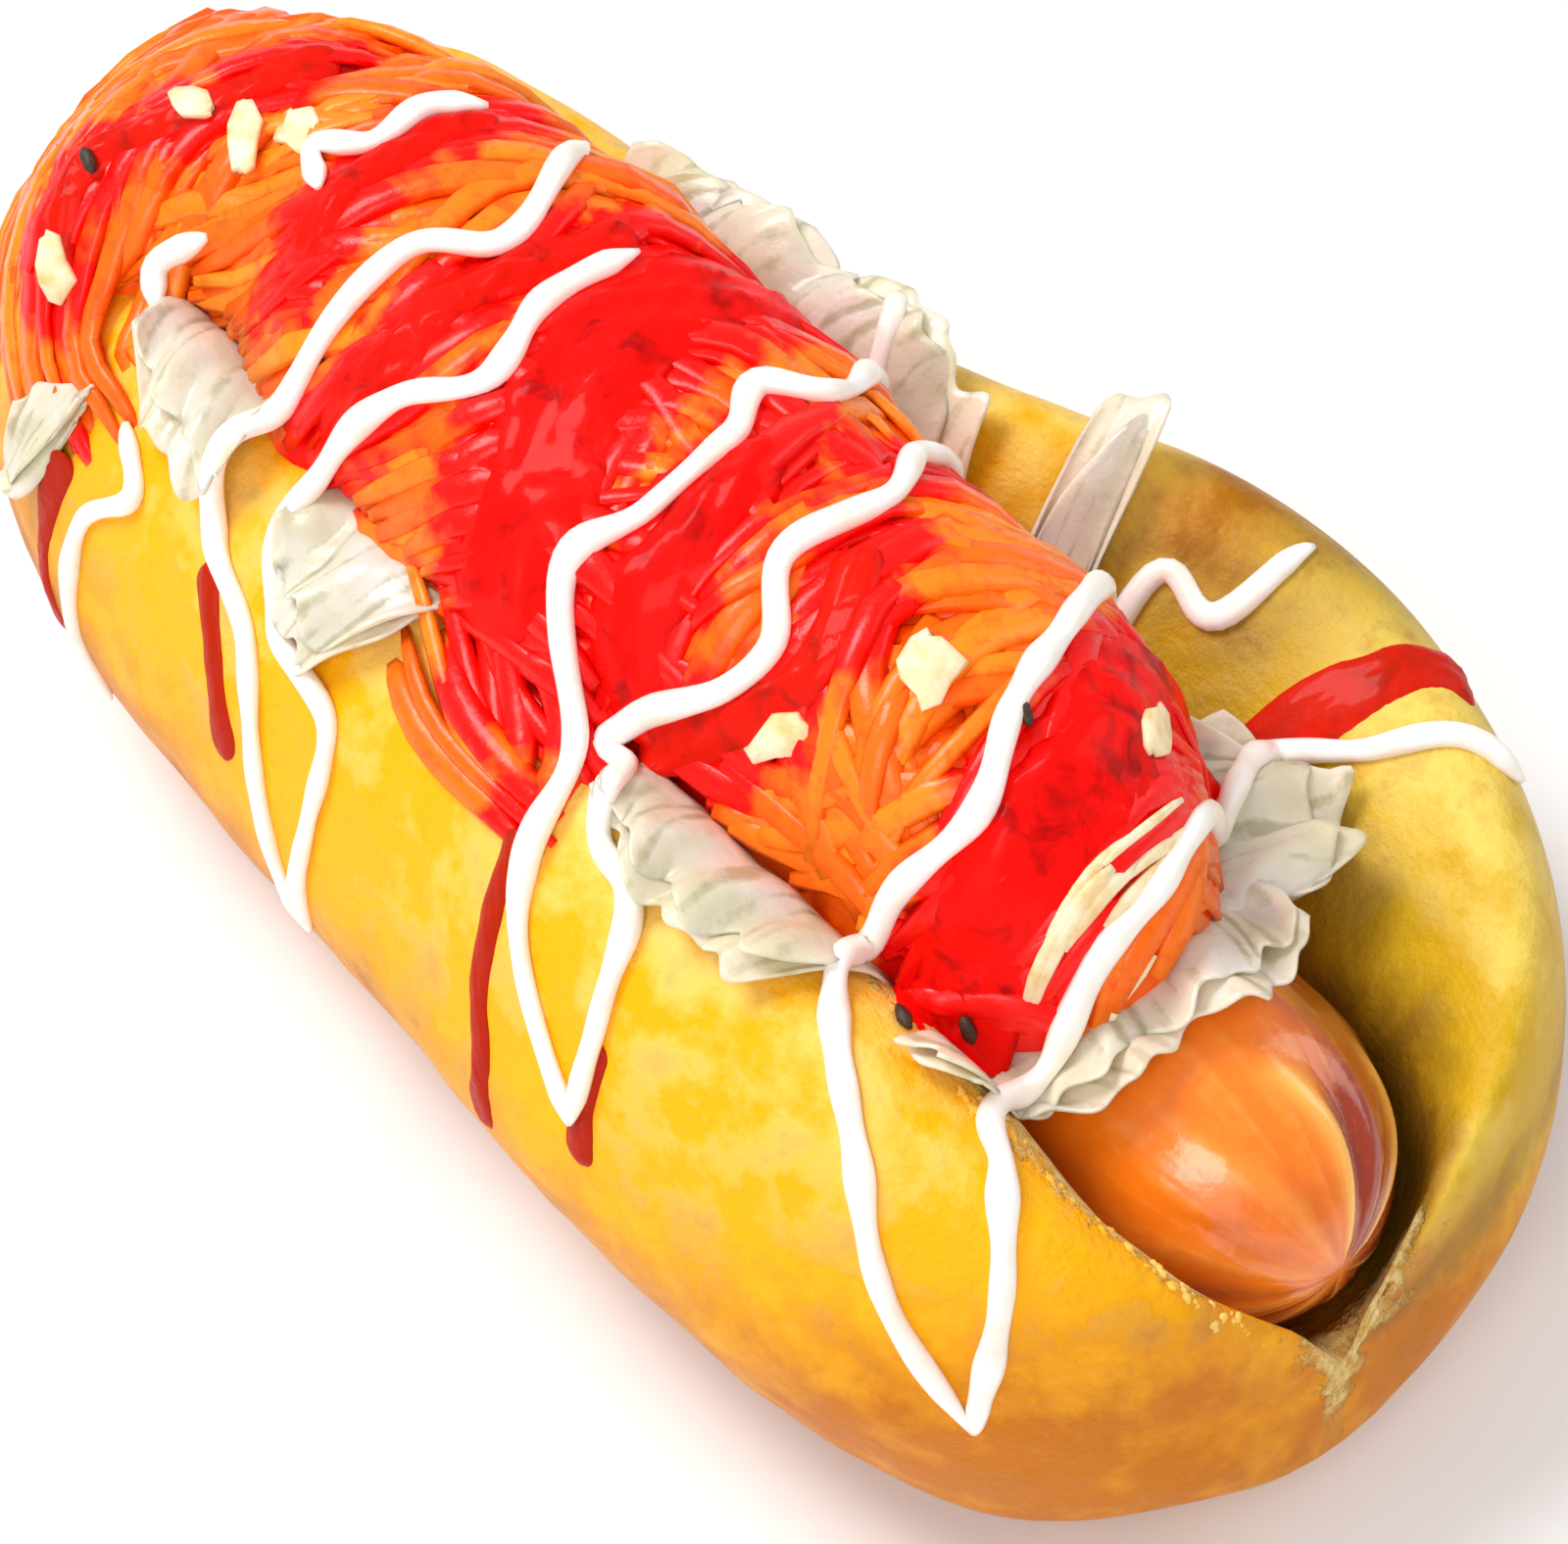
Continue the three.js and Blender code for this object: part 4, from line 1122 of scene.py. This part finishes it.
class HOTDOG_OT_salad(bpy.types.Operator):
    """Heap the carrot salad: a core, and bundles of shreds over it."""

    bl_idname = "hotdog.salad"
    bl_label = "Carrot salad"

    def execute(self, context):
        settings = context.scene.hot_dog.salad
        sauce = context.scene.hot_dog.sauce
        material = carrot_material(settings, sauce.ketchup)
        xs = places_along(HEAP_FAR_END, HEAP_NEAR_END, HEAP_RINGS, 0.4)
        turns = np.linspace(0, 2 * np.pi, HEAP_SIDES + 1)
        x, turn = np.meshgrid(xs, turns, indexing="ij")
        points = heap_point(x, turn, HEAP_SINK)
        rough = 0.9 * swell(points, 5, 11) + 0.5 * swell(points, 2.2, 4)
        points = points + outward(points, HEAP_CENTRE, 38, 1) * rough[..., None]
        points[:, -1] = points[:, 0]
        core = grid_piece("salad_core", points)
        lean = np.degrees(np.arctan2(points[..., 1], points[..., 2] - LEAN_LINE_HEIGHT))
        paint(core, "sauce", sauce_cover(points[..., 0], lean))
        paint(core, "tone", 0.15 + 0.15 * swell(points, 7, 1))
        close_up(core)
        finish_piece(core, material, "salad", "carrot_salad")
        self.lay_strands(settings, material)
        return {"FINISHED"}

    def lay_strands(self, settings, material):
        """Lays the shreds over the core, and keeps those that lie on the heap all along."""
        whole = Ground(BREAD + ["salad_core"])
        bread = Ground(BREAD)
        soft = whole.softened(4)
        rng = np.random.default_rng(settings.seed)
        tubes, tones, sauces = [], [], []
        half_width = settings.strand_half_width / METRES
        section = np.array([(1, 0.1), (0.62, 1), (-0.62, 1), (-1, 0.1), (0, -1)])
        lines = self.scattered_lines(rng, settings.bundles) + self.swept_lines(rng, STRAND_SWEEPS)
        free = len(lines)  # the lines after these may hang over the bun
        lines += self.swept_lines(rng, DRAPED_SWEEPS)
        for number, (x, lean, arch) in enumerate(lines):
            inside = (whole.at(x, lean) > bread.at(x, lean) + 0.4) & (x > HEAP_FAR_END + 0.5)
            inside &= x < HEAP_NEAR_END + 0.8
            inside |= number >= free
            kept = np.flatnonzero(inside)
            if len(kept) < 5 or kept[-1] - kept[0] + 1 != len(kept):
                continue
            x, lean, arch = x[kept], lean[kept], arch[kept]
            width = half_width * rng.uniform(0.6, 1.4)
            width = width * np.sin(np.linspace(0.12, np.pi - 0.12, len(x))) ** 0.35
            centres = soft.point(x, lean, arch + 0.4)
            tubes.append(sweep(centres, soft.up(x, lean), width, 0.55 * width, section))
            tones.append(np.full((len(x), STRAND_SIDES), rng.uniform(0, 1) ** 1.5))
            sauces.append(np.repeat(sauce_cover(x, lean)[:, None], STRAND_SIDES, 1))
        strands = tubes_piece("carrot_shreds", tubes, {"tone": tones, "sauce": sauces})
        finish_piece(strands, material, "salad", "carrot_salad")

    def scattered_lines(self, rng, bundles):
        """Shreds that lie in small bundles, each bundle its own way."""
        lines = []
        for _ in range(bundles):
            x0 = rng.uniform(HEAP_FAR_END + 2, HEAP_NEAR_END - 1)
            lean0 = rng.uniform(-24, 20)
            heading = self.flow(x0, lean0) + rng.normal(0, 0.25)
            bend = rng.normal(0, 0.022)
            rise = rng.uniform(-0.3, 1.0)
            for member in range(rng.integers(4, 9)):
                length = rng.uniform(16, 38)
                side = (member - 3) * 1.9 + rng.normal(0, 0.7)
                s = np.linspace(-0.5, 0.5, STRAND_ROWS) * length
                angle = heading + rng.normal(0, 0.13) + bend * s
                angle += 0.12 * np.sin(s * 0.35 + rng.uniform(0, 6))
                step = s[1] - s[0]
                along_x = np.cumsum(np.cos(angle)) * step
                along_y = np.cumsum(np.sin(angle)) * step
                x = x0 + along_x - along_x.mean() - side * np.sin(heading)
                y = along_y - along_y.mean() + side * np.cos(heading)
                arch = rise + rng.normal(0, 0.4) + 0.35 * np.sin(s * 0.4 + rng.uniform(0, 6))
                arch -= 2.2 * np.abs(s / length * 2) ** 4
                lines.append((x, lean0 + y / HEAP_DEGREE, arch))
        return lines

    def flow(self, x, lean):
        """Which way the real one's bundles run about here, as an angle from +X."""
        pull = 0
        for line in STRAND_SWEEPS:
            path = even_line([(px, plean * HEAP_DEGREE) for px, plean in line], 1.5)
            way = np.gradient(path, axis=0)
            angle = np.arctan2(way[:, 1], way[:, 0])
            apart = np.hypot(path[:, 0] - x, path[:, 1] - lean * HEAP_DEGREE)
            pull += (np.exp(-((apart / 8) ** 2)) * np.exp(2j * angle)).sum()
        return np.angle(pull) / 2

    def swept_lines(self, rng, sweeps):
        """Bundles on top, which run the way that they do in the real one."""
        lines = []
        for sweep_line in sweeps:
            path = even_line([(x, lean * HEAP_DEGREE) for x, lean in sweep_line], 0.5)
            run = np.arange(len(path)) * 0.5
            along = unit(np.gradient(path, axis=0))
            count = rng.integers(4, 7)
            for member in range(count):
                side = (member - (count - 1) / 2) * 2.1 + rng.normal(0, 0.3)
                grow = rng.uniform(1, 5, 2)
                at = np.linspace(-grow[0], run[-1] + grow[1], STRAND_ROWS)
                held = np.clip(at, 0, run[-1])
                point = np.stack([np.interp(held, run, path[:, k]) for k in (0, 1)], -1)
                way = np.stack([np.interp(held, run, along[:, k]) for k in (0, 1)], -1)
                point = point + way * (at - held)[:, None]
                across = np.stack([-way[:, 1], way[:, 0]], -1)
                drift = side + 0.5 * np.sin(at * 0.25 + rng.uniform(0, 6))
                point = point + across * drift[:, None]
                share = np.linspace(-1, 1, STRAND_ROWS)
                arch = 1.2 - 0.06 * side**2 + rng.normal(0, 0.35) - 1.6 * np.abs(share) ** 4
                lines.append((point[:, 0], point[:, 1] / HEAP_DEGREE, arch))
        return lines


class HOTDOG_OT_cabbage(bpy.types.Operator):
    """Tuck in the cabbage leaves."""

    bl_idname = "hotdog.cabbage"
    bl_label = "Cabbage"

    def execute(self, context):
        settings = context.scene.hot_dog.cabbage
        material = cabbage_material(settings)
        bread = Ground(BREAD).softened(1.5)
        for number, leaf in enumerate(LEAVES, 1):
            self.leaf(bread, settings, material, number, leaf)
        return {"FINISHED"}

    def leaf(self, bread, settings, material, number, leaf):
        layers = []
        for layer in range(2):
            points, vein = self.sheet(bread, leaf, number * 3.1 + layer * 1.7, layer)
            piece = grid_piece(f"cabbage_leaf_{number}_{layer}", points)
            paint(piece, "vein", vein)
            wall = piece.modifiers.new("wall", "SOLIDIFY")
            wall.thickness = settings.thickness
            wall.offset = 0
            apply_modifier(piece, wall)
            layers.append(piece)
        deselect()
        for piece in layers:
            piece.select_set(True)
        bpy.context.view_layer.objects.active = layers[0]
        bpy.ops.object.join()
        piece = bpy.context.object
        piece.name = f"cabbage_leaf_{number}"
        finish_piece(piece, material, "cabbage", f"cabbage_{number}")

    def sheet(self, bread, leaf, seed, layer):
        """One ruffled sheet of a leaf, and how strongly each of its points is a vein."""
        (x0, lean0), (x1, lean1) = leaf.inner
        (x2, lean2), (x3, lean3) = leaf.outer
        length = np.hypot(x1 - x0, (lean1 - lean0) * CRUST_DEGREE)
        columns = int(length / LEAF_STEP) + 8
        u, v = np.meshgrid(np.linspace(0, 1, columns), np.linspace(0, 1, LEAF_ROWS), indexing="ij")
        frill = 1 - leaf.corner * np.abs(2 * u - 1) ** 4 + 0.13 * ripple(u * length * 0.3, seed, seed)
        frill += 0.035 * np.sin(u * length * 0.9 + seed) - 0.14 * layer
        reach = -0.25 + 1.25 * v * frill
        ua = u + 0.02 * np.sin(v * 5 + seed)
        x = lerp(lerp(x0, x1, ua), lerp(x2, x3, ua), reach)
        lean = lerp(lerp(lean0, lean1, ua), lerp(lean2, lean3, ua), reach)
        depth = np.maximum(bread.at(x, lean), LEAF_DEPTH)
        wave = leaf.ruffle * v * np.sin(2 * np.pi * leaf.waves * u + 2 * v)
        fine = 0.45 * v**2 * np.sin(u * length * 0.75 + seed + 2.5 * v)
        crinkle = 0.3 * ripple(u * length * 0.35, v * 3, seed)
        rise = 0.9 + leaf.lift * v**2 * (1 - 0.3 * layer)
        rise = rise + np.maximum(wave + leaf.ruffle * v, 0)
        fan = np.sin(u * length * 1.5 + 1.1 * np.sin(v * 2 + seed) + 2 * ripple(u * 5, v, seed))
        vein = np.abs(fan) ** 2.5 * (0.6 + 0.6 * ripple(u * 9, v * 2, seed))
        return placed(x, lean, depth + rise + fine + crinkle + 0.9 * layer - 0.12 * vein), vein


class HOTDOG_OT_ketchup(bpy.types.Operator):
    """Lay the bands and drips of ketchup."""

    bl_idname = "hotdog.ketchup"
    bl_label = "Ketchup"

    def execute(self, context):
        settings = context.scene.hot_dog.sauce
        ground = Ground(BREAD + SALAD + CABBAGE).softened(1.2)
        thickness = settings.ketchup_thickness / METRES
        tubes = [self.band(ground, thickness, *band, i) for i, band in enumerate(KETCHUP_BANDS)]
        thin = [np.full(tube.shape[:2], band[1]) for tube, band in zip(tubes, KETCHUP_BANDS)]
        piece = tubes_piece("ketchup_bands", tubes, {"thin": thin})
        finish_piece(piece, ketchup_material(settings), "ketchup")
        return {"FINISHED"}

    def band(self, ground, thickness, half_width, thinness, line, seed):
        """A flat tube with uneven edges, and a drop at its end where it lies thin."""
        step = min(0.8, 0.25 * half_width)
        path = even_line([(x, lean * SAUCE_DEGREE) for x, lean in line], step)
        along = unit(np.gradient(path, axis=0))
        across = np.stack([-along[:, 1], along[:, 0]], -1)
        run = np.arange(len(path)) * step
        end = np.minimum(np.minimum(run, run[-1] - run) / half_width, 1)
        end = np.sqrt(1 - (1 - end) ** 2 * 0.96)
        side = np.concatenate([np.linspace(-1, 1, 15), np.linspace(1, -1, 9)[1:-1]])
        top = np.concatenate([np.ones(15), np.zeros(7)])
        edge = 1 + 0.22 * ripple(run * 0.14, seed, seed)[:, None] * np.sign(side)
        edge += 0.1 * ripple(run * 0.41, seed + 4, seed)[:, None]
        edge += 0.4 * thinness * hump(run, run[-1] - 1.6, 3)[:, None]
        width = half_width * end[:, None] * edge * side
        x = path[:, :1] + across[:, :1] * width
        lean = (path[:, 1:] + across[:, 1:] * width) / SAUCE_DEGREE
        dome = (1 - np.abs(side) ** 2.6) * top
        lump = 1 + 0.35 * ripple(x * 0.5, lean * 0.5, seed)
        lump = lump + 0.2 * ripple(x * 1.3, lean * 1.2, seed)
        high = thickness * (1 - 0.5 * thinness) * np.minimum(end[:, None] + 0.2, 1)
        rise = np.where(top > 0, -0.35 * (1 - thinness) + high * dome * lump, -1.6)
        return ground.point(x, lean, rise)


class HOTDOG_OT_mayonnaise(bpy.types.Operator):
    """Squeeze the zigzag of mayonnaise over everything."""

    bl_idname = "hotdog.mayonnaise"
    bl_label = "Mayonnaise"

    def execute(self, context):
        settings = context.scene.hot_dog.sauce
        ground = Ground(BREAD + SALAD + ["ketchup_bands"] + CABBAGE)
        soft = ground.softened(1.2)
        steady = ground.softened(5)
        half_width = settings.mayonnaise_half_width / METRES
        tubes = []
        for number, line in enumerate(MAYO_LINES):
            path = even_line([(x, lean * SAUCE_DEGREE) for x, lean in line], MAYONNAISE_STEP)
            x, lean = path[:, 0], path[:, 1] / SAUCE_DEGREE
            depth = soft.at(x, lean)
            kernel = np.hanning(9)
            kernel /= kernel.sum()
            depth = np.convolve(np.pad(depth, 4, mode="edge"), kernel, "valid")
            t = np.arange(len(x)) * MAYONNAISE_STEP
            end = np.minimum(np.minimum(t, t[-1] - t) / (2.5 * half_width) + 0.12, 1) ** 0.6
            width = half_width * end * (1 + 0.24 * ripple(t * 0.2, number, number))
            width *= 1 + 0.05 * np.sin(t * 1.1 + number)
            width *= 1 - 0.2 * smoothstep(-lean, 22, 34)  # drawn out where it runs down
            centres = placed(x, lean, depth + 0.55)
            section = round_section(MAYONNAISE_SIDES)
            tubes.append(sweep(centres, steady.up(x, lean), width, 0.8 * width, section))
        piece = tubes_piece("mayonnaise_lines", tubes)
        finish_piece(piece, mayonnaise_material(settings), "mayonnaise")
        return {"FINISHED"}


def small_lump(centre, ups, sizes, seed, rough):
    """A small lump, as a tube of few faces: lengths along two directions and up."""
    along = np.cross(ups, [0.3, 1, 0.2])
    along /= np.linalg.norm(along)
    rows = np.linspace(-0.94, 0.94, 6)
    widths = np.sqrt(1 - rows**2) * (1 + rough * np.sin(rows * 7 + seed))
    centres = centre + along * rows[:, None] * sizes[0]
    upward = np.repeat(np.asarray(ups)[None], len(rows), 0)
    return sweep(centres, upward, widths * sizes[1], widths * sizes[2], round_section(BIT_SIDES))


class HOTDOG_OT_bits(bpy.types.Operator):
    """Scatter the small bits: pale shreds, dark specks and crumbs."""

    bl_idname = "hotdog.bits"
    bl_label = "Small bits"

    def execute(self, context):
        hot_dog = context.scene.hot_dog
        ground = Ground(BREAD + SALAD + ["ketchup_bands"]).softened(1.2)
        rng = np.random.default_rng(3)
        chips = []
        for x, lean in CREAM_BITS:
            up = ground.up(x, lean)
            size = (rng.uniform(2.2, 3.4), rng.uniform(1.5, 2.3), 0.4)
            chips.append(self.chip(ground.point(x, lean, 0.15), up, size, rng))
        for line in CREAM_SHREDS:
            for _ in range(2):
                x, lean = even_line(line, 0.9).T + rng.normal(0, 0.9, (2, 1))
                taper = np.sin(np.linspace(0.2, np.pi - 0.2, len(x))) ** 0.4
                width = rng.uniform(0.3, 0.9) * taper
                centres = ground.point(x, lean, rng.uniform(0, 0.35))
                section = round_section(BIT_SIDES)
                chips.append(sweep(centres, ground.up(x, lean), width, 0.5 * width, section))
        finish_piece(tubes_piece("cabbage_bits", chips), scrap_material(), "cabbage")
        specks = []
        for x, lean in DARK_SPECKS:
            up = ground.up(x, lean)
            place = ground.point(x, lean, 0.7)
            specks.append(small_lump(place, up, (1.2, 0.6, 0.5), x, 0.15))
        finish_piece(tubes_piece("herb_specks", specks), speck_material(), "salad")
        crumbs = []
        rim = even_line(RIM_LINE, 0.25)
        for _ in range(RIM_CRUMBS):
            px, pl = rim[rng.integers(0, len(rim))] + rng.normal(0, 0.5, 2)
            up = ground.up(px, pl) + rng.normal(0, 0.4, 3)
            size = rng.uniform(0.15, 0.55) * np.array([1.5, 1, 0.7])
            place = ground.point(px, pl, 0)
            crumbs.append(small_lump(place, up, size, rng.uniform(0, 6), 0.3))
        piece = tubes_piece("rim_crumbs", crumbs)
        paint(piece, "pale", np.full(len(piece.data.vertices), 0.6))
        finish_piece(piece, found("bun_crust").data.materials[0], "bun")
        return {"FINISHED"}

    def chip(self, centre, up, size, rng):
        """A flat, cornered scrap of leaf."""
        heading = rng.uniform(0, 2 * np.pi)
        east = np.cross(up, [np.cos(heading), np.sin(heading), 0.1])
        east /= np.linalg.norm(east)
        north = np.cross(up, east)
        rows = np.array([-1, -0.96, -0.35, 0.2, 0.94, 1])
        shape = np.array([0.25, 0.4, 0.85, 1, 0.5, 0.3]) * rng.uniform(0.6, 1.2, 6)
        lean_over = rng.uniform(-0.35, 0.35) * rows + rng.normal(0, 0.12, 6)
        centres = centre + east * (rows * size[0])[:, None] + north * (lean_over * size[1])[:, None]
        heights = size[2] * np.array([0.3, 0.8, 1, 1, 0.8, 0.3])
        top = [(1, 0.2), (0.9, 1), (0, 1.15), (-0.9, 1), (-1, 0.2)]
        section = np.array(top + [(-0.9, -1), (0.9, -1)])
        return sweep(centres, np.repeat(up[None], len(rows), 0), shape * size[1], heights, section)


class HOTDOG_OT_stage(bpy.types.Operator):
    """Set the floor, the lights and the camera."""

    bl_idname = "hotdog.stage"
    bl_label = "Stage"

    def execute(self, context):
        settings = context.scene.hot_dog.stage
        deselect()
        bpy.ops.mesh.primitive_plane_add(size=8)
        floor = context.object
        floor.name = "floor"
        floor.data.materials.append(floor_material(settings))
        self.camera(context, settings.focal_length)
        for name, place, width, share in LAMPS:
            self.lamp(name, place, width, settings.key_power * share)
        world = bpy.data.worlds.new("studio")
        world.use_nodes = True
        background = world.node_tree.nodes["Background"]
        background.inputs["Color"].default_value = (1, 1, 1, 1)
        background.inputs["Strength"].default_value = WORLD_STRENGTH
        context.scene.world = world
        context.scene.view_settings.view_transform = "Standard"
        return {"FINISHED"}

    def camera(self, context, focal_length):
        deselect()
        bpy.ops.object.camera_add()
        camera = context.object
        camera.location = CAMERA_TARGET + CAMERA_BACK * CAMERA_DISTANCE
        camera.rotation_euler = CAMERA_BACK.to_track_quat("Z", "Y").to_euler()
        camera.data.lens = focal_length
        camera.data.sensor_width = 36
        camera.data.clip_start = 0.01
        context.scene.camera = camera

    def lamp(self, name, place, width, power):
        deselect()
        bpy.ops.object.light_add(type="AREA", location=place)
        lamp = bpy.context.object
        lamp.name = name
        lamp.rotation_euler = (Vector(place) - CAMERA_TARGET).to_track_quat("Z", "Y").to_euler()
        lamp.data.size = width
        lamp.data.energy = power


class HOTDOG_PT_pieces(bpy.types.Panel):
    """Lists the pieces of the hot dog."""

    bl_idname = "HOTDOG_PT_pieces"
    bl_label = "Hot dog"
    bl_space_type = "VIEW_3D"
    bl_region_type = "UI"
    bl_category = "Hot dog"

    def draw(self, context):
        for operator in OPERATORS:
            self.layout.operator(operator.bl_idname, text=operator.bl_label)


GROUPS = (
    BunSettings,
    SausageSettings,
    SaladSettings,
    CabbageSettings,
    SauceSettings,
    StageSettings,
    HotDogSettings,
)
OPERATORS = (
    HOTDOG_OT_bun,
    HOTDOG_OT_sausage,
    HOTDOG_OT_salad,
    HOTDOG_OT_cabbage,
    HOTDOG_OT_ketchup,
    HOTDOG_OT_mayonnaise,
    HOTDOG_OT_bits,
    HOTDOG_OT_stage,
)


def register():
    for cls in (*GROUPS, *OPERATORS, HOTDOG_PT_pieces):
        bpy.utils.register_class(cls)
    bpy.types.Scene.hot_dog = PointerProperty(type=HotDogSettings)


def unregister():
    del bpy.types.Scene.hot_dog
    for cls in reversed((*GROUPS, *OPERATORS, HOTDOG_PT_pieces)):
        bpy.utils.unregister_class(cls)


def main():
    register()
    bpy.ops.hotdog.bun()
    bpy.ops.hotdog.sausage()
    bpy.ops.hotdog.salad()
    bpy.ops.hotdog.cabbage()
    bpy.ops.hotdog.ketchup()
    bpy.ops.hotdog.mayonnaise()
    bpy.ops.hotdog.bits()
    bpy.ops.hotdog.stage()


if __name__ == "__main__":
    main()
